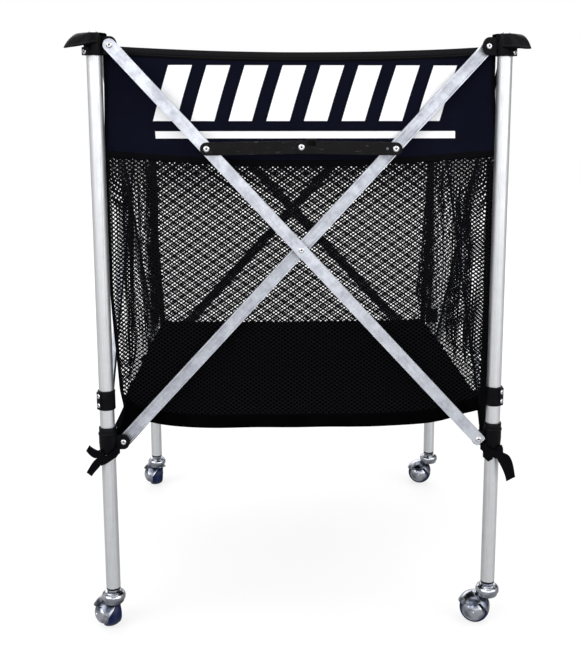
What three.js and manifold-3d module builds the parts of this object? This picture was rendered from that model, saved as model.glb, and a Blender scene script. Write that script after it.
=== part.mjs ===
// Folding ball cart: four aluminium posts on swivelling ball casters, joined by a scissor of
// channel arms on each side, with a toggle lock across the front and a fabric bag hung between.
// Millimetres, +Z up. The front, with the lock, faces -Y and the ground is at z = 0.
import * as THREE from 'three';
import { mergeVertices } from 'three/addons/utils/BufferGeometryUtils.js';
import Module from 'manifold-3d';

const wasm = await Module();
wasm.setup();

// Driving dimensions
const GAP = 0.3;
const POST_SPACING = 620;
const TUBE = { radius: 11.5, bore: 10.1, bottom: 77, top: 956 };
// The keyway faces the front or back, turned this many degrees in from square
const KEYWAY = { width: 2.4, depth: 0.8, turn: 24 };

const PIVOT_INSET = 24.6;
const TOP_PIVOT_Z = 945;
const LOW_PIVOT_Z = 325.5;
const EAR = { half: 2.5, reach: 10, bracketRise: 13.5, sliderRise: 12 };
const SMALL_HEAD = { radius: 3.9, crownTop: 2.4, crown: 1.5, sunk: 0.4 };
const RIVET = { shank: 2.5, hole: 2.85, boss: 5, head: 4.5, crown: 1.5, crownTop: 3 };

const COLLAR_RADIUS = 14.3;
// How far ears, pads and ribs are sunk into their collar's wall, from its bore outwards
const ROOT = 0.5;
const BRACKET = {
	bottom: 930, ledge: 956.3, top: 960.5, pad: 17.3, padWidth: 13, padTop: 942, rivetZ: 935.5,
};
const RIB = { turns: [100, 170], half: 1.1, proud: 0.9, below: 1.5 };
const SLIDER = { bottom: 308, waist: 325, bead: 339, beadTop: 342.5, rim: 351.7, beadRadius: 15.1 };
const STOP_BAND = { bottom: 381, top: 412, radius: 14, pad: 15.6, padWidth: 10, rivetZ: [389.5, 404.5] };

const ARM = { half: 9.5, near: 2.9, far: 10.9, web: 1.6, endReach: 7, endCorner: 3.5 };
const LINK = {
	half: 9.9, thickness: 2.5, fromCentre: 212.5, rise: 2.6, near: 12.2, stud: 3, hole: 3.3, head: 4.8,
	sideHole: 2, sideHoleFromEnd: 10.6,
};
const LINK_TAB = { from: 8, to: 21.5, height: 3.4, lip: 5, thickness: 1.6 };

const SCREW = {
	shank: 2.6, hole: 2.9, washer: 7, head: 4.8, seat: 963.3, washerTop: 964.6, top: 967, tip: 948,
};
const FLAP = {
	hole: 3, flat: 12, flatShare: 0.25, z: 963, thickness: 2.2, side: 17.6, tip: 50, tongue: 22.5,
	edge: 942, tongueLift: 6,
};
// Turns of the flap's spokes from its beak, in degrees: closer together where the edge lifts over an ear
const FLAP_STEPS = 4;
const FLAP_SPOKES = [14, 32, 52, 70, 88, 121, 154, 172];

const BAG = {
	half: 296, halfLow: 284, taperFrom: 600, top: 946, topSag: 9, floor: 372, thickness: 2,
	frontSag: 28, backSag: 3, middleSag: 14, mitre: 0.2, floorHalf: 281.6, floorThickness: 2.5,
};

const TIE = { inner: 12.1, outer: 13.7, bottom: 294.5, top: 306.5, width: 8.5, thickness: 1.6, knot: 6.5 };
const TIE_TAILS = [
	{ end: [48, 320], bow: 5 },
	{ end: [43, 277], bow: -3 },
];

const WHEEL = {
	trail: 20, radius: 25, tyreBack: 12.7, tyreFront: -5, tyreBore: 15, hub: 14.7, dome: 23.8,
};
const AXLE = { radius: 2, bore: 2.3, inside: -14, head: 4, headTop: 17.7 };
const HOOD = {
	outer: 28, inner: 26.6, cut: 42, cutSlope: 0.17,
	legNear: 14, legFar: 16.2, legTop: 49, legHalf: 8, legFlare: 3,
	skirtTurn: -28, skirtTip: 24, skirtTop: 50, skirtHalf: 12,
};
const HOUSING = { bottom: 56, top: 70.3, radius: 19.3, bore: 5.3, floor: 60.2, neck: 12.5, neckBottom: 42 };
const STEM = {
	radius: 5, tip: 60.5, nut: 10.8, nutBottom: 70.6, flange: 11.3, flangeBottom: 74.2, plug: 9.8, top: 108,
};
// Turn of each caster about its post, front left first and then anticlockwise from above
const CASTER_TURN = [-58, -22, -18, -70];

const SEGMENTS = { collar: 10, ring: 12, tube: 14, hole: 8, shank: 6, plate: 4, wheel: 12, sphere: 12, stem: 8 };

// Vertex radius of a bore that clears the post's tube all round
const CLEAR_BORE = (TUBE.radius + GAP) / Math.cos(Math.PI / SEGMENTS.collar);

const CORNERS = ['front_left', 'front_right', 'back_right', 'back_left'];
const SIDES = ['front', 'right', 'back', 'left'];

// Values that follow from the driving dimensions
const PIVOT_SPAN = POST_SPACING - 2 * PIVOT_INSET;
const PIVOT_HEIGHT = TOP_PIVOT_Z - LOW_PIVOT_Z;
const ARM_HALF_LENGTH = Math.hypot(PIVOT_SPAN, PIVOT_HEIGHT) / 2;
const ARM_LEAN = Math.atan2(PIVOT_SPAN, PIVOT_HEIGHT);
const CROSSING_Z = (TOP_PIVOT_Z + LOW_PIVOT_Z) / 2;
const LOCK_REACH = LINK.fromCentre * Math.sin(ARM_LEAN);
const LOCK_Z = CROSSING_Z + LINK.fromCentre * Math.cos(ARM_LEAN);
const LINK_LENGTH = Math.hypot(LOCK_REACH, LINK.rise);
const LINK_TILT = Math.atan2(LINK.rise, LOCK_REACH);
const DIAGONAL = (5 * Math.PI) / 4;
// Turn that brings a piece drawn towards +Y to the corner's outward diagonal
const OUTWARD = 135;

const radians = THREE.MathUtils.degToRad;
const lerp = THREE.MathUtils.lerp;
const smooth = THREE.MathUtils.smoothstep;

// Finishes
const FINISHES = {
	aluminium: { color: 0xc9cad0, roughness: 0.32, metalness: 1 },
	zinc: { color: 0xd2d3d8, roughness: 0.12, metalness: 1 },
	rivet: { color: 0xdcdcde, roughness: 0.25, metalness: 1 },
	blackSteel: { color: 0x23232a, roughness: 0.35, metalness: 0.8 },
	nylon: { color: 0x1d1d27, roughness: 0.45, metalness: 0 },
	rubber: { color: 0x161b2c, roughness: 0.55, metalness: 0 },
	leatherette: { color: 0x24211f, roughness: 0.5, metalness: 0 },
	cloth: { color: 0x14151d, roughness: 0.85, metalness: 0 },
	mesh: { color: 0x101117, roughness: 0.9, metalness: 0 },
	tape: { color: 0x1a1a1d, roughness: 0.8, metalness: 0 },
};

function mesh(name, geometry, finish) {
	const piece = new THREE.Mesh(geometry, new THREE.MeshStandardMaterial(FINISHES[finish]));
	piece.name = name;
	return piece;
}

// Solids and booleans

function signedVolume(vertices, triangles) {
	let volume = 0;
	const [a, b, c] = [new THREE.Vector3(), new THREE.Vector3(), new THREE.Vector3()];
	for (let i = 0; i < triangles.length; i += 3) {
		a.fromArray(vertices, 3 * triangles[i]);
		b.fromArray(vertices, 3 * triangles[i + 1]);
		c.fromArray(vertices, 3 * triangles[i + 2]);
		volume += a.dot(b.cross(c)) / 6;
	}
	return volume;
}

// A solid of a closed geometry, turned about Z by the given degrees
function solid(geometry, turn = 0) {
	const bare = geometry.clone().rotateZ(radians(turn));
	bare.deleteAttribute('normal');
	bare.deleteAttribute('uv');
	const merged = mergeVertices(bare, 1e-4);
	const vertices = new Float32Array(merged.attributes.position.array);
	const triangles = new Uint32Array(merged.index.array);
	if (signedVolume(vertices, triangles) < 0) {
		triangles.reverse();
	}
	const made = new wasm.Mesh({ numProp: 3, vertProperties: vertices, triVerts: triangles });
	return new wasm.Manifold(made);
}

function geometryOf(manifold) {
	const made = manifold.getMesh();
	const geometry = new THREE.BufferGeometry();
	geometry.setAttribute('position', new THREE.BufferAttribute(made.vertProperties, 3));
	geometry.setIndex(new THREE.BufferAttribute(made.triVerts, 1));
	geometry.computeVertexNormals();
	return geometry;
}

const union = (solids) => solids.reduce((whole, piece) => whole.add(piece));
const cut = (body, tools) => tools.reduce((rest, tool) => rest.subtract(tool), body);

// A rod along Y at (x, z), from y0 to y1, which may taper to another radius at its end
function rod(radius, y0, y1, { x = 0, z = 0, end = radius, segments = SEGMENTS.hole, turn = 0 } = {}) {
	const geometry = new THREE.CylinderGeometry(end, radius, Math.abs(y1 - y0), segments);
	if (y1 < y0) {
		geometry.rotateX(Math.PI);
	}
	return solid(geometry.translate(x, (y0 + y1) / 2, z), turn);
}

const boss = (y0, y1, at) => rod(RIVET.boss, y0, y1, { ...at, segments: SEGMENTS.shank });
const shank = (y0, y1, at) => rod(RIVET.shank, y0, y1, { ...at, segments: SEGMENTS.shank });
const crown = (y0, y1, at) => rod(RIVET.head, y0, y1, { ...at, end: RIVET.crownTop });

// A plate whose outline is drawn in X and Z, filling y0 to y1
function plate(shape, y0, y1, turn = 0) {
	const options = { depth: y1 - y0, bevelEnabled: false, curveSegments: SEGMENTS.plate };
	const geometry = new THREE.ExtrudeGeometry(shape, options);
	return solid(geometry.rotateX(Math.PI / 2).translate(0, y1, 0), turn);
}

// A block from one corner to the other
function block([x0, y0, z0], [x1, y1, z1], turn = 0) {
	const geometry = new THREE.BoxGeometry(x1 - x0, y1 - y0, z1 - z0);
	return solid(geometry.translate((x0 + x1) / 2, (y0 + y1) / 2, (z0 + z1) / 2), turn);
}

// A turned piece about Z, from points of radius and height
function turned(points, segments = SEGMENTS.collar) {
	const profile = points.map(([r, z]) => new THREE.Vector2(r, z));
	const closed = points[0][0] > 0 || points.at(-1)[0] > 0;
	if (closed) {
		profile.push(profile[0].clone());
	}
	return new THREE.LatheGeometry(profile, segments).rotateX(Math.PI / 2);
}

// A closed sheet between two surfaces, each a function of u and v from 0 to 1
function sheetBetween(outer, inner, across, along) {
	const positions = [];
	for (const surface of [outer, inner]) {
		for (let j = 0; j <= along; j += 1) {
			for (let i = 0; i <= across; i += 1) {
				positions.push(...surface(i / across, j / along));
			}
		}
	}
	const layer = (across + 1) * (along + 1);
	const at = (i, j, side) => side * layer + j * (across + 1) + i;
	const triangles = [];
	const quad = (a, b, c, d) => triangles.push(a, b, c, a, c, d);
	for (let j = 0; j < along; j += 1) {
		for (let i = 0; i < across; i += 1) {
			quad(at(i, j, 0), at(i + 1, j, 0), at(i + 1, j + 1, 0), at(i, j + 1, 0));
			quad(at(i, j, 1), at(i, j + 1, 1), at(i + 1, j + 1, 1), at(i + 1, j, 1));
		}
	}
	for (let i = 0; i < across; i += 1) {
		quad(at(i, 0, 1), at(i + 1, 0, 1), at(i + 1, 0, 0), at(i, 0, 0));
		quad(at(i, along, 0), at(i + 1, along, 0), at(i + 1, along, 1), at(i, along, 1));
	}
	for (let j = 0; j < along; j += 1) {
		quad(at(0, j, 0), at(0, j + 1, 0), at(0, j + 1, 1), at(0, j, 1));
		quad(at(across, j, 1), at(across, j + 1, 1), at(across, j + 1, 0), at(across, j, 0));
	}
	const geometry = new THREE.BufferGeometry();
	geometry.setAttribute('position', new THREE.Float32BufferAttribute(positions, 3));
	geometry.setIndex(triangles);
	return geometry;
}

// Posts: drawn tube with one shallow keyway, turned in from the front or back face
function tubeSection(mirrored) {
	const outline = new THREE.Shape();
	const turn = radians(mirrored ? 180 - KEYWAY.turn : KEYWAY.turn - 90);
	const halfGroove = Math.asin(KEYWAY.width / 2 / TUBE.radius);
	const sweep = 2 * Math.PI - 2 * halfGroove;
	for (let i = 0; i <= SEGMENTS.tube; i += 1) {
		const angle = turn + halfGroove + (sweep * i) / SEGMENTS.tube;
		const x = TUBE.radius * Math.cos(angle);
		const y = TUBE.radius * Math.sin(angle);
		if (i === 0) {
			outline.moveTo(x, y);
		} else {
			outline.lineTo(x, y);
		}
	}
	for (const side of [-1, 1]) {
		const angle = turn + side * halfGroove;
		const depth = TUBE.radius - KEYWAY.depth;
		outline.lineTo(depth * Math.cos(angle), depth * Math.sin(angle));
	}
	const bore = new THREE.Path();
	bore.absarc(0, 0, TUBE.bore, 0, 2 * Math.PI, true);
	outline.holes.push(bore);
	return outline;
}

function post(corner) {
	const depth = TUBE.top - TUBE.bottom;
	const mirrored = corner % 2 === 1;
	const options = { depth, bevelEnabled: false, curveSegments: SEGMENTS.tube / 2 };
	const geometry = new THREE.ExtrudeGeometry(tubeSection(mirrored), options);
	return geometry.translate(0, 0, TUBE.bottom);
}

// Moulded ears: a plate beside the collar, with the rivet that carries the arm on one face.
// direction is the way that the ear points along X, and armSide the face that the arm is on.
function ear(direction, armSide, pivotZ, rise, turn) {
	const outline = new THREE.Shape();
	const x = direction * PIVOT_INSET;
	const root = direction * (CLEAR_BORE + ROOT);
	outline.moveTo(root, pivotZ - rise);
	outline.lineTo(x, pivotZ - rise);
	outline.absellipse(x, pivotZ, EAR.reach, rise, -Math.PI / 2, Math.PI / 2, direction < 0);
	outline.lineTo(root, pivotZ + rise);
	const face = armSide * EAR.half;
	const inFace = face - armSide;
	const bossEnd = armSide * (ARM.far - ARM.web - GAP);
	const seat = armSide * (ARM.far + GAP);
	const height = armSide * RIVET.crown;
	const at = { x, z: pivotZ, turn };
	return union([
		plate(outline, -EAR.half, EAR.half, turn),
		boss(inFace, bossEnd, at),
		shank(inFace, seat + height / 2, at),
		crown(seat, seat + height, at),
		crown(-face, -face - height, at),
	]);
}

// Two ears at right angles: one on the side that starts at this corner, one on the side that ends here
function bothEars(firstArmSide, pivotZ, rise) {
	return ear(1, firstArmSide, pivotZ, rise, 0).add(ear(-1, -firstArmSide, pivotZ, rise, -90));
}

// A rivet head on the pad of a collar's outward diagonal, at the given radius
function diagonalRivet(z, seat) {
	const options = { z, end: SMALL_HEAD.crownTop, turn: OUTWARD };
	return rod(SMALL_HEAD.radius, seat - SMALL_HEAD.sunk, seat + SMALL_HEAD.crown, options);
}

// A flat pad on the outward diagonal, from the collar's wall to the given radius
function diagonalPad(width, reach, bottom, top) {
	return block([-width / 2, CLEAR_BORE + ROOT, bottom], [width / 2, reach, top], OUTWARD);
}

function bracket() {
	const bore = CLEAR_BORE;
	const collar = solid(turned([
		[bore, BRACKET.bottom],
		[COLLAR_RADIUS - 0.8, BRACKET.bottom],
		[COLLAR_RADIUS, BRACKET.bottom + 1.2],
		[COLLAR_RADIUS, BRACKET.top - 1.2],
		[COLLAR_RADIUS - 1.2, BRACKET.top],
		[SCREW.hole, BRACKET.top],
		[SCREW.hole, BRACKET.ledge],
		[bore, BRACKET.ledge],
	]));
	const ribEnd = COLLAR_RADIUS + RIB.proud;
	const ribTop = BRACKET.top - RIB.below;
	const ribs = RIB.turns.map((turn) => (
		block([-RIB.half, bore + ROOT, BRACKET.bottom], [RIB.half, ribEnd, ribTop], turn)
	));
	return geometryOf(union([
		collar,
		diagonalPad(BRACKET.padWidth, BRACKET.pad, BRACKET.bottom, BRACKET.padTop),
		...ribs,
		diagonalRivet(BRACKET.rivetZ, BRACKET.pad),
		bothEars(-1, TOP_PIVOT_Z, EAR.bracketRise),
	]));
}

function slider() {
	const bore = CLEAR_BORE;
	const collar = solid(turned([
		[bore, SLIDER.bottom],
		[COLLAR_RADIUS - 1.4, SLIDER.bottom],
		[COLLAR_RADIUS, SLIDER.waist],
		[COLLAR_RADIUS, SLIDER.bead],
		[SLIDER.beadRadius, (SLIDER.bead + SLIDER.beadTop) / 2],
		[COLLAR_RADIUS - 0.3, SLIDER.beadTop],
		[COLLAR_RADIUS - 0.3, SLIDER.rim],
		[bore, SLIDER.rim],
	]));
	return geometryOf(collar.add(bothEars(1, LOW_PIVOT_Z, EAR.sliderRise)));
}

function stopBand() {
	const bore = CLEAR_BORE;
	const { bottom, top, radius } = STOP_BAND;
	const ring = solid(turned([
		[bore, bottom],
		[radius - 0.7, bottom],
		[radius, bottom + 1],
		[radius, top - 1],
		[radius - 0.7, top],
		[bore, top],
	]));
	const pad = diagonalPad(STOP_BAND.padWidth, STOP_BAND.pad, bottom + 1, top - 1);
	return geometryOf(union([ring, pad, ...STOP_BAND.rivetZ.map((z) => diagonalRivet(z, STOP_BAND.pad))]));
}

// Arms: channel with its open side towards the ears. side is -1 for the outer arm and 1 for the inner.
// The arm lies along X about its crossing rivet, with its top end at -X.
function channel(side) {
	const end = ARM_HALF_LENGTH;
	const outline = new THREE.Shape();
	outline.moveTo(-end, -ARM.half);
	const tip = end + ARM.endReach;
	const corner = ARM.endCorner;
	for (const [out, up] of [[1, 0], [0.3, 0.3], [0, 1]]) {
		outline.lineTo(tip - out * corner, -ARM.half + up * corner);
	}
	for (const [out, down] of [[0, 1], [0.3, 0.3], [1, 0]]) {
		outline.lineTo(tip - out * corner, ARM.half - down * corner);
	}
	outline.lineTo(-end, ARM.half);
	outline.absarc(-end, 0, ARM.half, Math.PI / 2, (3 * Math.PI) / 2);
	const low = Math.min(side * ARM.near, side * ARM.far);
	const high = Math.max(side * ARM.near, side * ARM.far);
	const webInside = side * (ARM.far - ARM.web);
	const openFace = side * (ARM.near - 1);
	const inside = ARM.half - ARM.web;
	const length = 2 * ARM_HALF_LENGTH;
	const near = Math.min(webInside, openFace);
	const far = Math.max(webInside, openFace);
	return plate(outline, low, high).subtract(block([-length, near, -inside], [length, far, inside]));
}

function webHole(x, side) {
	return rod(RIVET.hole, side * (ARM.near + 1), side * (ARM.far + 1), { x });
}

function outerArm(withLock) {
	const near = -(ARM.far - ARM.web) - 1;
	const pivots = [-ARM_HALF_LENGTH, ARM_HALF_LENGTH];
	const seat = ARM.far + GAP;
	const holed = pivots.map((x) => webHole(x, -1));
	const pieces = [
		cut(channel(-1), holed),
		boss(near, ARM.far - ARM.web - GAP),
		shank(near, seat + RIVET.crown / 2),
		crown(seat, seat + RIVET.crown),
		crown(-ARM.far, -ARM.far - RIVET.crown),
	];
	if (withLock) {
		const linkFace = -(LINK.near + LINK.thickness + GAP);
		const x = -LINK.fromCentre;
		pieces.push(rod(LINK.stud, -ARM.far + 1, linkFace - RIVET.crown / 2, { x }));
		pieces.push(linkHead(linkFace, x));
	}
	return geometryOf(union(pieces));
}

function innerArm(withLock) {
	const holes = [-ARM_HALF_LENGTH, 0, ARM_HALF_LENGTH].map((x) => webHole(x, 1));
	const body = cut(channel(1), holes);
	if (!withLock) {
		return geometryOf(body);
	}
	const linkFace = -(LINK.near + LINK.thickness + GAP);
	const standoff = boss(ARM.far - 1, linkFace + GAP, { x: -LINK.fromCentre });
	return geometryOf(body.add(standoff));
}

// Lock links: flat bars that meet at a toggle pivot over the crossing
function linkHead(face, x) {
	return rod(LINK.head, face, face - RIVET.crown, { x, end: RIVET.crownTop });
}

function linkBar(length, y0) {
	const outline = new THREE.Shape();
	outline.moveTo(0, -LINK.half);
	outline.lineTo(length, -LINK.half);
	outline.absarc(length, 0, LINK.half, -Math.PI / 2, Math.PI / 2);
	outline.lineTo(0, LINK.half);
	outline.absarc(0, 0, LINK.half, Math.PI / 2, (3 * Math.PI) / 2);
	return plate(outline, y0 - LINK.thickness, y0);
}

function leftLink() {
	const y0 = -LINK.near;
	const back = y0 - LINK.thickness;
	const seat = back - LINK.thickness - 2 * GAP;
	return geometryOf(union([
		cut(linkBar(LINK_LENGTH, y0), [rod(LINK.hole, y0 + 1, back - 1)]),
		rod(LINK.stud, y0 - 1, seat - RIVET.crown / 2, { x: LINK_LENGTH }),
		linkHead(seat, LINK_LENGTH),
	]));
}

function rightLink() {
	const y0 = -LINK.near - LINK.thickness - GAP;
	const face = y0 - LINK.thickness;
	const holes = [
		rod(LINK.hole, y0 + 1, face - 1),
		rod(LINK.sideHole, y0 + 1, face - 1, { x: LINK_LENGTH - LINK.sideHoleFromEnd }),
	];
	const tabTop = LINK.half + LINK_TAB.height;
	const { from, to, lip, thickness } = LINK_TAB;
	const stalk = block([from, face, 0], [to, y0, tabTop]);
	const thumbLip = block([from, face - lip, tabTop - thickness], [to, y0, tabTop]);
	const clearOfPivot = rod(LINK.head + 1, face + 0.01, face - lip - 1);
	return geometryOf(union([
		cut(linkBar(LINK_LENGTH, y0), holes),
		stalk.subtract(rod(LINK.hole, y0 + 1, face - 1)),
		thumbLip.subtract(clearOfPivot),
		rod(LINK.head, face + 0.5, face - RIVET.crown, { x: LINK_LENGTH, end: RIVET.crownTop }),
	]));
}

// Corner flap of the bag: a leatherette cap that runs out to a beak over the post's outward diagonal,
// lifts over both ears and ends in a tongue to the bag's corner
function flapEdge(turn) {
	const away = Math.abs(turn);
	const beak = (FLAP.tip - FLAP.side) * Math.max(0, Math.cos(turn)) ** 4;
	const tongue = (FLAP.tongue - FLAP.side) * Math.max(0, -Math.cos(turn)) ** 8;
	const lift = smooth(away, radians(70), radians(88)) - smooth(away, radians(154), radians(172));
	const tongueLift = away > Math.PI / 2 ? FLAP.tongueLift * (1 - lift) : 0;
	return { radius: FLAP.side + beak + tongue, z: lerp(FLAP.edge, FLAP.z - 1.2, lift) + tongueLift };
}

function flapProfile(turn, along) {
	const edge = flapEdge(turn);
	const beak = smooth(edge.radius, FLAP.tongue, FLAP.tip);
	if (along < FLAP.flatShare) {
		return new THREE.Vector2(lerp(FLAP.hole, FLAP.flat, along / FLAP.flatShare), FLAP.z);
	}
	const bend = new THREE.CubicBezierCurve(
		new THREE.Vector2(FLAP.flat, FLAP.z),
		new THREE.Vector2(lerp(1, 0.52, beak) * edge.radius - 0.1, FLAP.z),
		new THREE.Vector2(lerp(1, 0.8, beak) * edge.radius, FLAP.z - 5 * beak),
		new THREE.Vector2(edge.radius, edge.z),
	);
	return bend.getPoint((along - FLAP.flatShare) / (1 - FLAP.flatShare));
}

function flap() {
	const otherHalf = FLAP_SPOKES.map((turn) => -turn).reverse();
	const spokes = [0, ...FLAP_SPOKES, ...otherHalf].map(radians);
	const surface = (depth) => (spoke, v) => {
		const turn = spokes[spoke];
		const here = flapProfile(turn, v);
		const step = v < 1 ? 0.01 : -0.01;
		const there = flapProfile(turn, v + step);
		const slope = there.sub(here).multiplyScalar(Math.sign(step)).normalize();
		const radius = here.x + depth * slope.y;
		const z = here.y - depth * slope.x;
		return [radius * Math.cos(DIAGONAL + turn), radius * Math.sin(DIAGONAL + turn), z];
	};
	return geometryOf(solid(roundSheet(surface(0), surface(FLAP.thickness), spokes.length, FLAP_STEPS)));
}

// A closed sheet that goes round: each surface is a function of the spoke's number and v from 0 to 1
function roundSheet(outer, inner, around, along) {
	const positions = [];
	for (const surface of [outer, inner]) {
		for (let j = 0; j <= along; j += 1) {
			for (let i = 0; i < around; i += 1) {
				positions.push(...surface(i, j / along));
			}
		}
	}
	const layer = around * (along + 1);
	const at = (i, j, side) => side * layer + j * around + (i % around);
	const triangles = [];
	const quad = (a, b, c, d) => triangles.push(a, b, c, a, c, d);
	for (let i = 0; i < around; i += 1) {
		for (let j = 0; j < along; j += 1) {
			quad(at(i, j, 0), at(i + 1, j, 0), at(i + 1, j + 1, 0), at(i, j + 1, 0));
			quad(at(i, j, 1), at(i, j + 1, 1), at(i + 1, j + 1, 1), at(i + 1, j, 1));
		}
		quad(at(i, 0, 1), at(i + 1, 0, 1), at(i + 1, 0, 0), at(i, 0, 0));
		quad(at(i, along, 0), at(i + 1, along, 0), at(i + 1, along, 1), at(i, along, 1));
	}
	const geometry = new THREE.BufferGeometry();
	geometry.setAttribute('position', new THREE.Float32BufferAttribute(positions, 3));
	geometry.setIndex(triangles);
	return geometry;
}

function capScrew() {
	const { shank, washer, head, seat, washerTop, top, tip } = SCREW;
	return turned([
		[0, tip], [shank, tip], [shank, seat], [washer, seat], [washer, washerTop], [head, washerTop],
		[head * 0.9, lerp(washerTop, top, 0.6)], [head * 0.5, top], [0, top],
	], SEGMENTS.hole);
}

// Bag: four mitred walls and a floor that sags most at the front
function floorSag(u, v) {
	const edge = lerp(BAG.frontSag, BAG.backSag, (v + 1) / 2);
	return (1 - u * u) * (edge + BAG.middleSag * (1 - v * v));
}

function bagHalf(z) {
	return lerp(BAG.halfLow, BAG.half, smooth(z, BAG.floor, BAG.taperFrom));
}

function bagWall(edgeSag) {
	const point = (depth) => (s, v) => {
		const u = 2 * s - 1;
		const bottom = BAG.floor - BAG.floorThickness - edgeSag * (1 - u * u);
		const top = BAG.top - BAG.topSag * (1 - u * u);
		const z = lerp(bottom, top, v);
		const half = bagHalf(z) - depth;
		return [u * (half - BAG.mitre), -half, z];
	};
	return sheetBetween(point(0), point(BAG.thickness), 8, 4);
}

function bagFloor() {
	const point = (depth) => (s, t) => {
		const u = 2 * s - 1;
		const v = 2 * t - 1;
		return [u * BAG.floorHalf, v * BAG.floorHalf, BAG.floor - floorSag(u, v) - depth];
	};
	return sheetBetween(point(0), point(BAG.floorThickness), 6, 6);
}

// Ties: the bag's corner tape, wound round the post below the slider and knotted on the outward side
function tieTail({ end, bow }) {
	const start = new THREE.Vector2(TIE.outer + 1, (TIE.bottom + TIE.top) / 2);
	const tip = new THREE.Vector2(...end);
	const middle = start.clone().lerp(tip, 0.5).add(new THREE.Vector2(0, bow));
	const curve = new THREE.QuadraticBezierCurve(start, middle, tip);
	const side = (offset) => (s, t) => {
		const at = curve.getPoint(t);
		const run = curve.getTangent(t);
		const across = (s - 0.5) * TIE.width;
		const r = at.x - run.y * across;
		const z = at.y + run.x * across;
		const along = new THREE.Vector3(r, offset, z);
		return along.applyAxisAngle(new THREE.Vector3(0, 0, 1), DIAGONAL).toArray();
	};
	return solid(sheetBetween(side(TIE.thickness / 2), side(-TIE.thickness / 2), 1, 4));
}

function tie() {
	const ring = solid(turned([
		[TIE.inner, TIE.bottom],
		[TIE.outer, TIE.bottom],
		[TIE.outer, TIE.top],
		[TIE.inner, TIE.top],
	], SEGMENTS.ring));
	const knot = new THREE.SphereGeometry(TIE.knot, 6, 4).scale(0.7, 0.8, 1);
	knot.translate(TIE.outer + 2.5, 0, (TIE.bottom + TIE.top) / 2).rotateZ(DIAGONAL);
	const core = new THREE.CylinderGeometry(TIE.inner, TIE.inner, 2 * TIE.top, SEGMENTS.ring);
	core.rotateX(Math.PI / 2);
	const whole = union([ring, solid(knot), ...TIE_TAILS.map(tieTail)]);
	return geometryOf(whole.subtract(solid(core)));
}

// Casters: a turned swivel housing with a pressed hood over a domed wheel that trails behind the stem
function casterStem() {
	const { radius, tip, nut, nutBottom, flange, flangeBottom, plug, top } = STEM;
	const seat = TUBE.bottom - GAP;
	return turned([
		[0, tip], [radius, tip], [radius, nutBottom], [nut, nutBottom], [nut, flangeBottom],
		[flange, flangeBottom], [flange, seat], [plug, seat], [plug, top], [0, top],
	], SEGMENTS.stem);
}

function ballAt(radius) {
	const ball = new THREE.SphereGeometry(radius, SEGMENTS.sphere, SEGMENTS.sphere / 2);
	return solid(ball.rotateX(Math.PI / 2).translate(-WHEEL.trail, 0, WHEEL.radius));
}

// What is kept of the hood's shell: all above a sloping plane, and a pointed skirt on the leading side
function hoodKeep() {
	const size = 4 * HOOD.outer;
	const above = new THREE.BoxGeometry(size, size, size / 2).translate(0, 0, size / 4);
	above.rotateY(-Math.atan(HOOD.cutSlope)).translate(-WHEEL.trail, 0, HOOD.cut);
	const outline = new THREE.Shape();
	outline.moveTo(0, HOOD.skirtTip);
	outline.lineTo(HOOD.skirtHalf, HOOD.skirtTop);
	outline.lineTo(-HOOD.skirtHalf, HOOD.skirtTop);
	const options = { depth: HOOD.outer, bevelEnabled: false };
	const skirt = new THREE.ExtrudeGeometry(outline, options).rotateX(Math.PI / 2).rotateZ(Math.PI);
	skirt.rotateZ(radians(HOOD.skirtTurn - 90)).translate(-WHEEL.trail, 0, 0);
	return solid(above).add(solid(skirt));
}

function hoodLeg() {
	const { legNear, legFar, legTop, legHalf, legFlare } = HOOD;
	const outline = new THREE.Shape();
	outline.moveTo(-WHEEL.trail - legHalf, WHEEL.radius);
	outline.absarc(-WHEEL.trail, WHEEL.radius, legHalf, Math.PI, 2 * Math.PI);
	outline.lineTo(-WHEEL.trail + legHalf + legFlare, legTop);
	outline.lineTo(-WHEEL.trail - legHalf - legFlare, legTop);
	return plate(outline, legNear, legFar).intersect(ballAt(HOOD.outer));
}

function casterHood() {
	const { bottom, top, radius, bore, floor, neck, neckBottom } = HOUSING;
	const housing = solid(turned([
		[0, bottom], [radius - 1.8, bottom], [radius - 0.3, bottom + 1.5], [radius, bottom + 5],
		[radius - 1, top - 5], [radius - 5, top - 1.5], [11.5, top], [bore, top], [bore, floor], [0, floor],
	]));
	const neckRod = new THREE.CylinderGeometry(neck, neck, bottom + 1 - neckBottom, SEGMENTS.collar);
	neckRod.rotateX(Math.PI / 2).translate(0, 0, (bottom + 1 + neckBottom) / 2);
	const inside = ballAt(HOOD.inner);
	const at = { x: -WHEEL.trail, z: WHEEL.radius };
	return geometryOf(union([
		housing,
		solid(neckRod).subtract(inside),
		ballAt(HOOD.outer).subtract(inside).intersect(hoodKeep()),
		hoodLeg(),
		rod(AXLE.radius, AXLE.inside, HOOD.legFar + 0.5, at),
		rod(AXLE.head, HOOD.legFar - 0.5, AXLE.headTop, { ...at, end: RIVET.crownTop }),
	]));
}

function turnedOnAxle(points) {
	const profile = points.map(([r, y]) => new THREE.Vector2(r, y));
	return new THREE.LatheGeometry(profile, SEGMENTS.wheel).translate(-WHEEL.trail, 0, WHEEL.radius);
}

function ballArc(radius, from, to, steps) {
	const points = [];
	for (let i = 0; i <= steps; i += 1) {
		const y = lerp(from, to, i / steps);
		points.push([Math.sqrt(Math.max(0, radius * radius - y * y)), y]);
	}
	return points;
}

function tyre() {
	const { radius, tyreBack, tyreFront, tyreBore } = WHEEL;
	const tread = [...ballArc(radius, tyreBack, 0, 3), ...ballArc(radius, tyreFront / 2, tyreFront, 1)];
	return turnedOnAxle([[tyreBore, tyreBack], ...tread, [tyreBore, tyreFront], [tyreBore, tyreBack]]);
}

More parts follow.
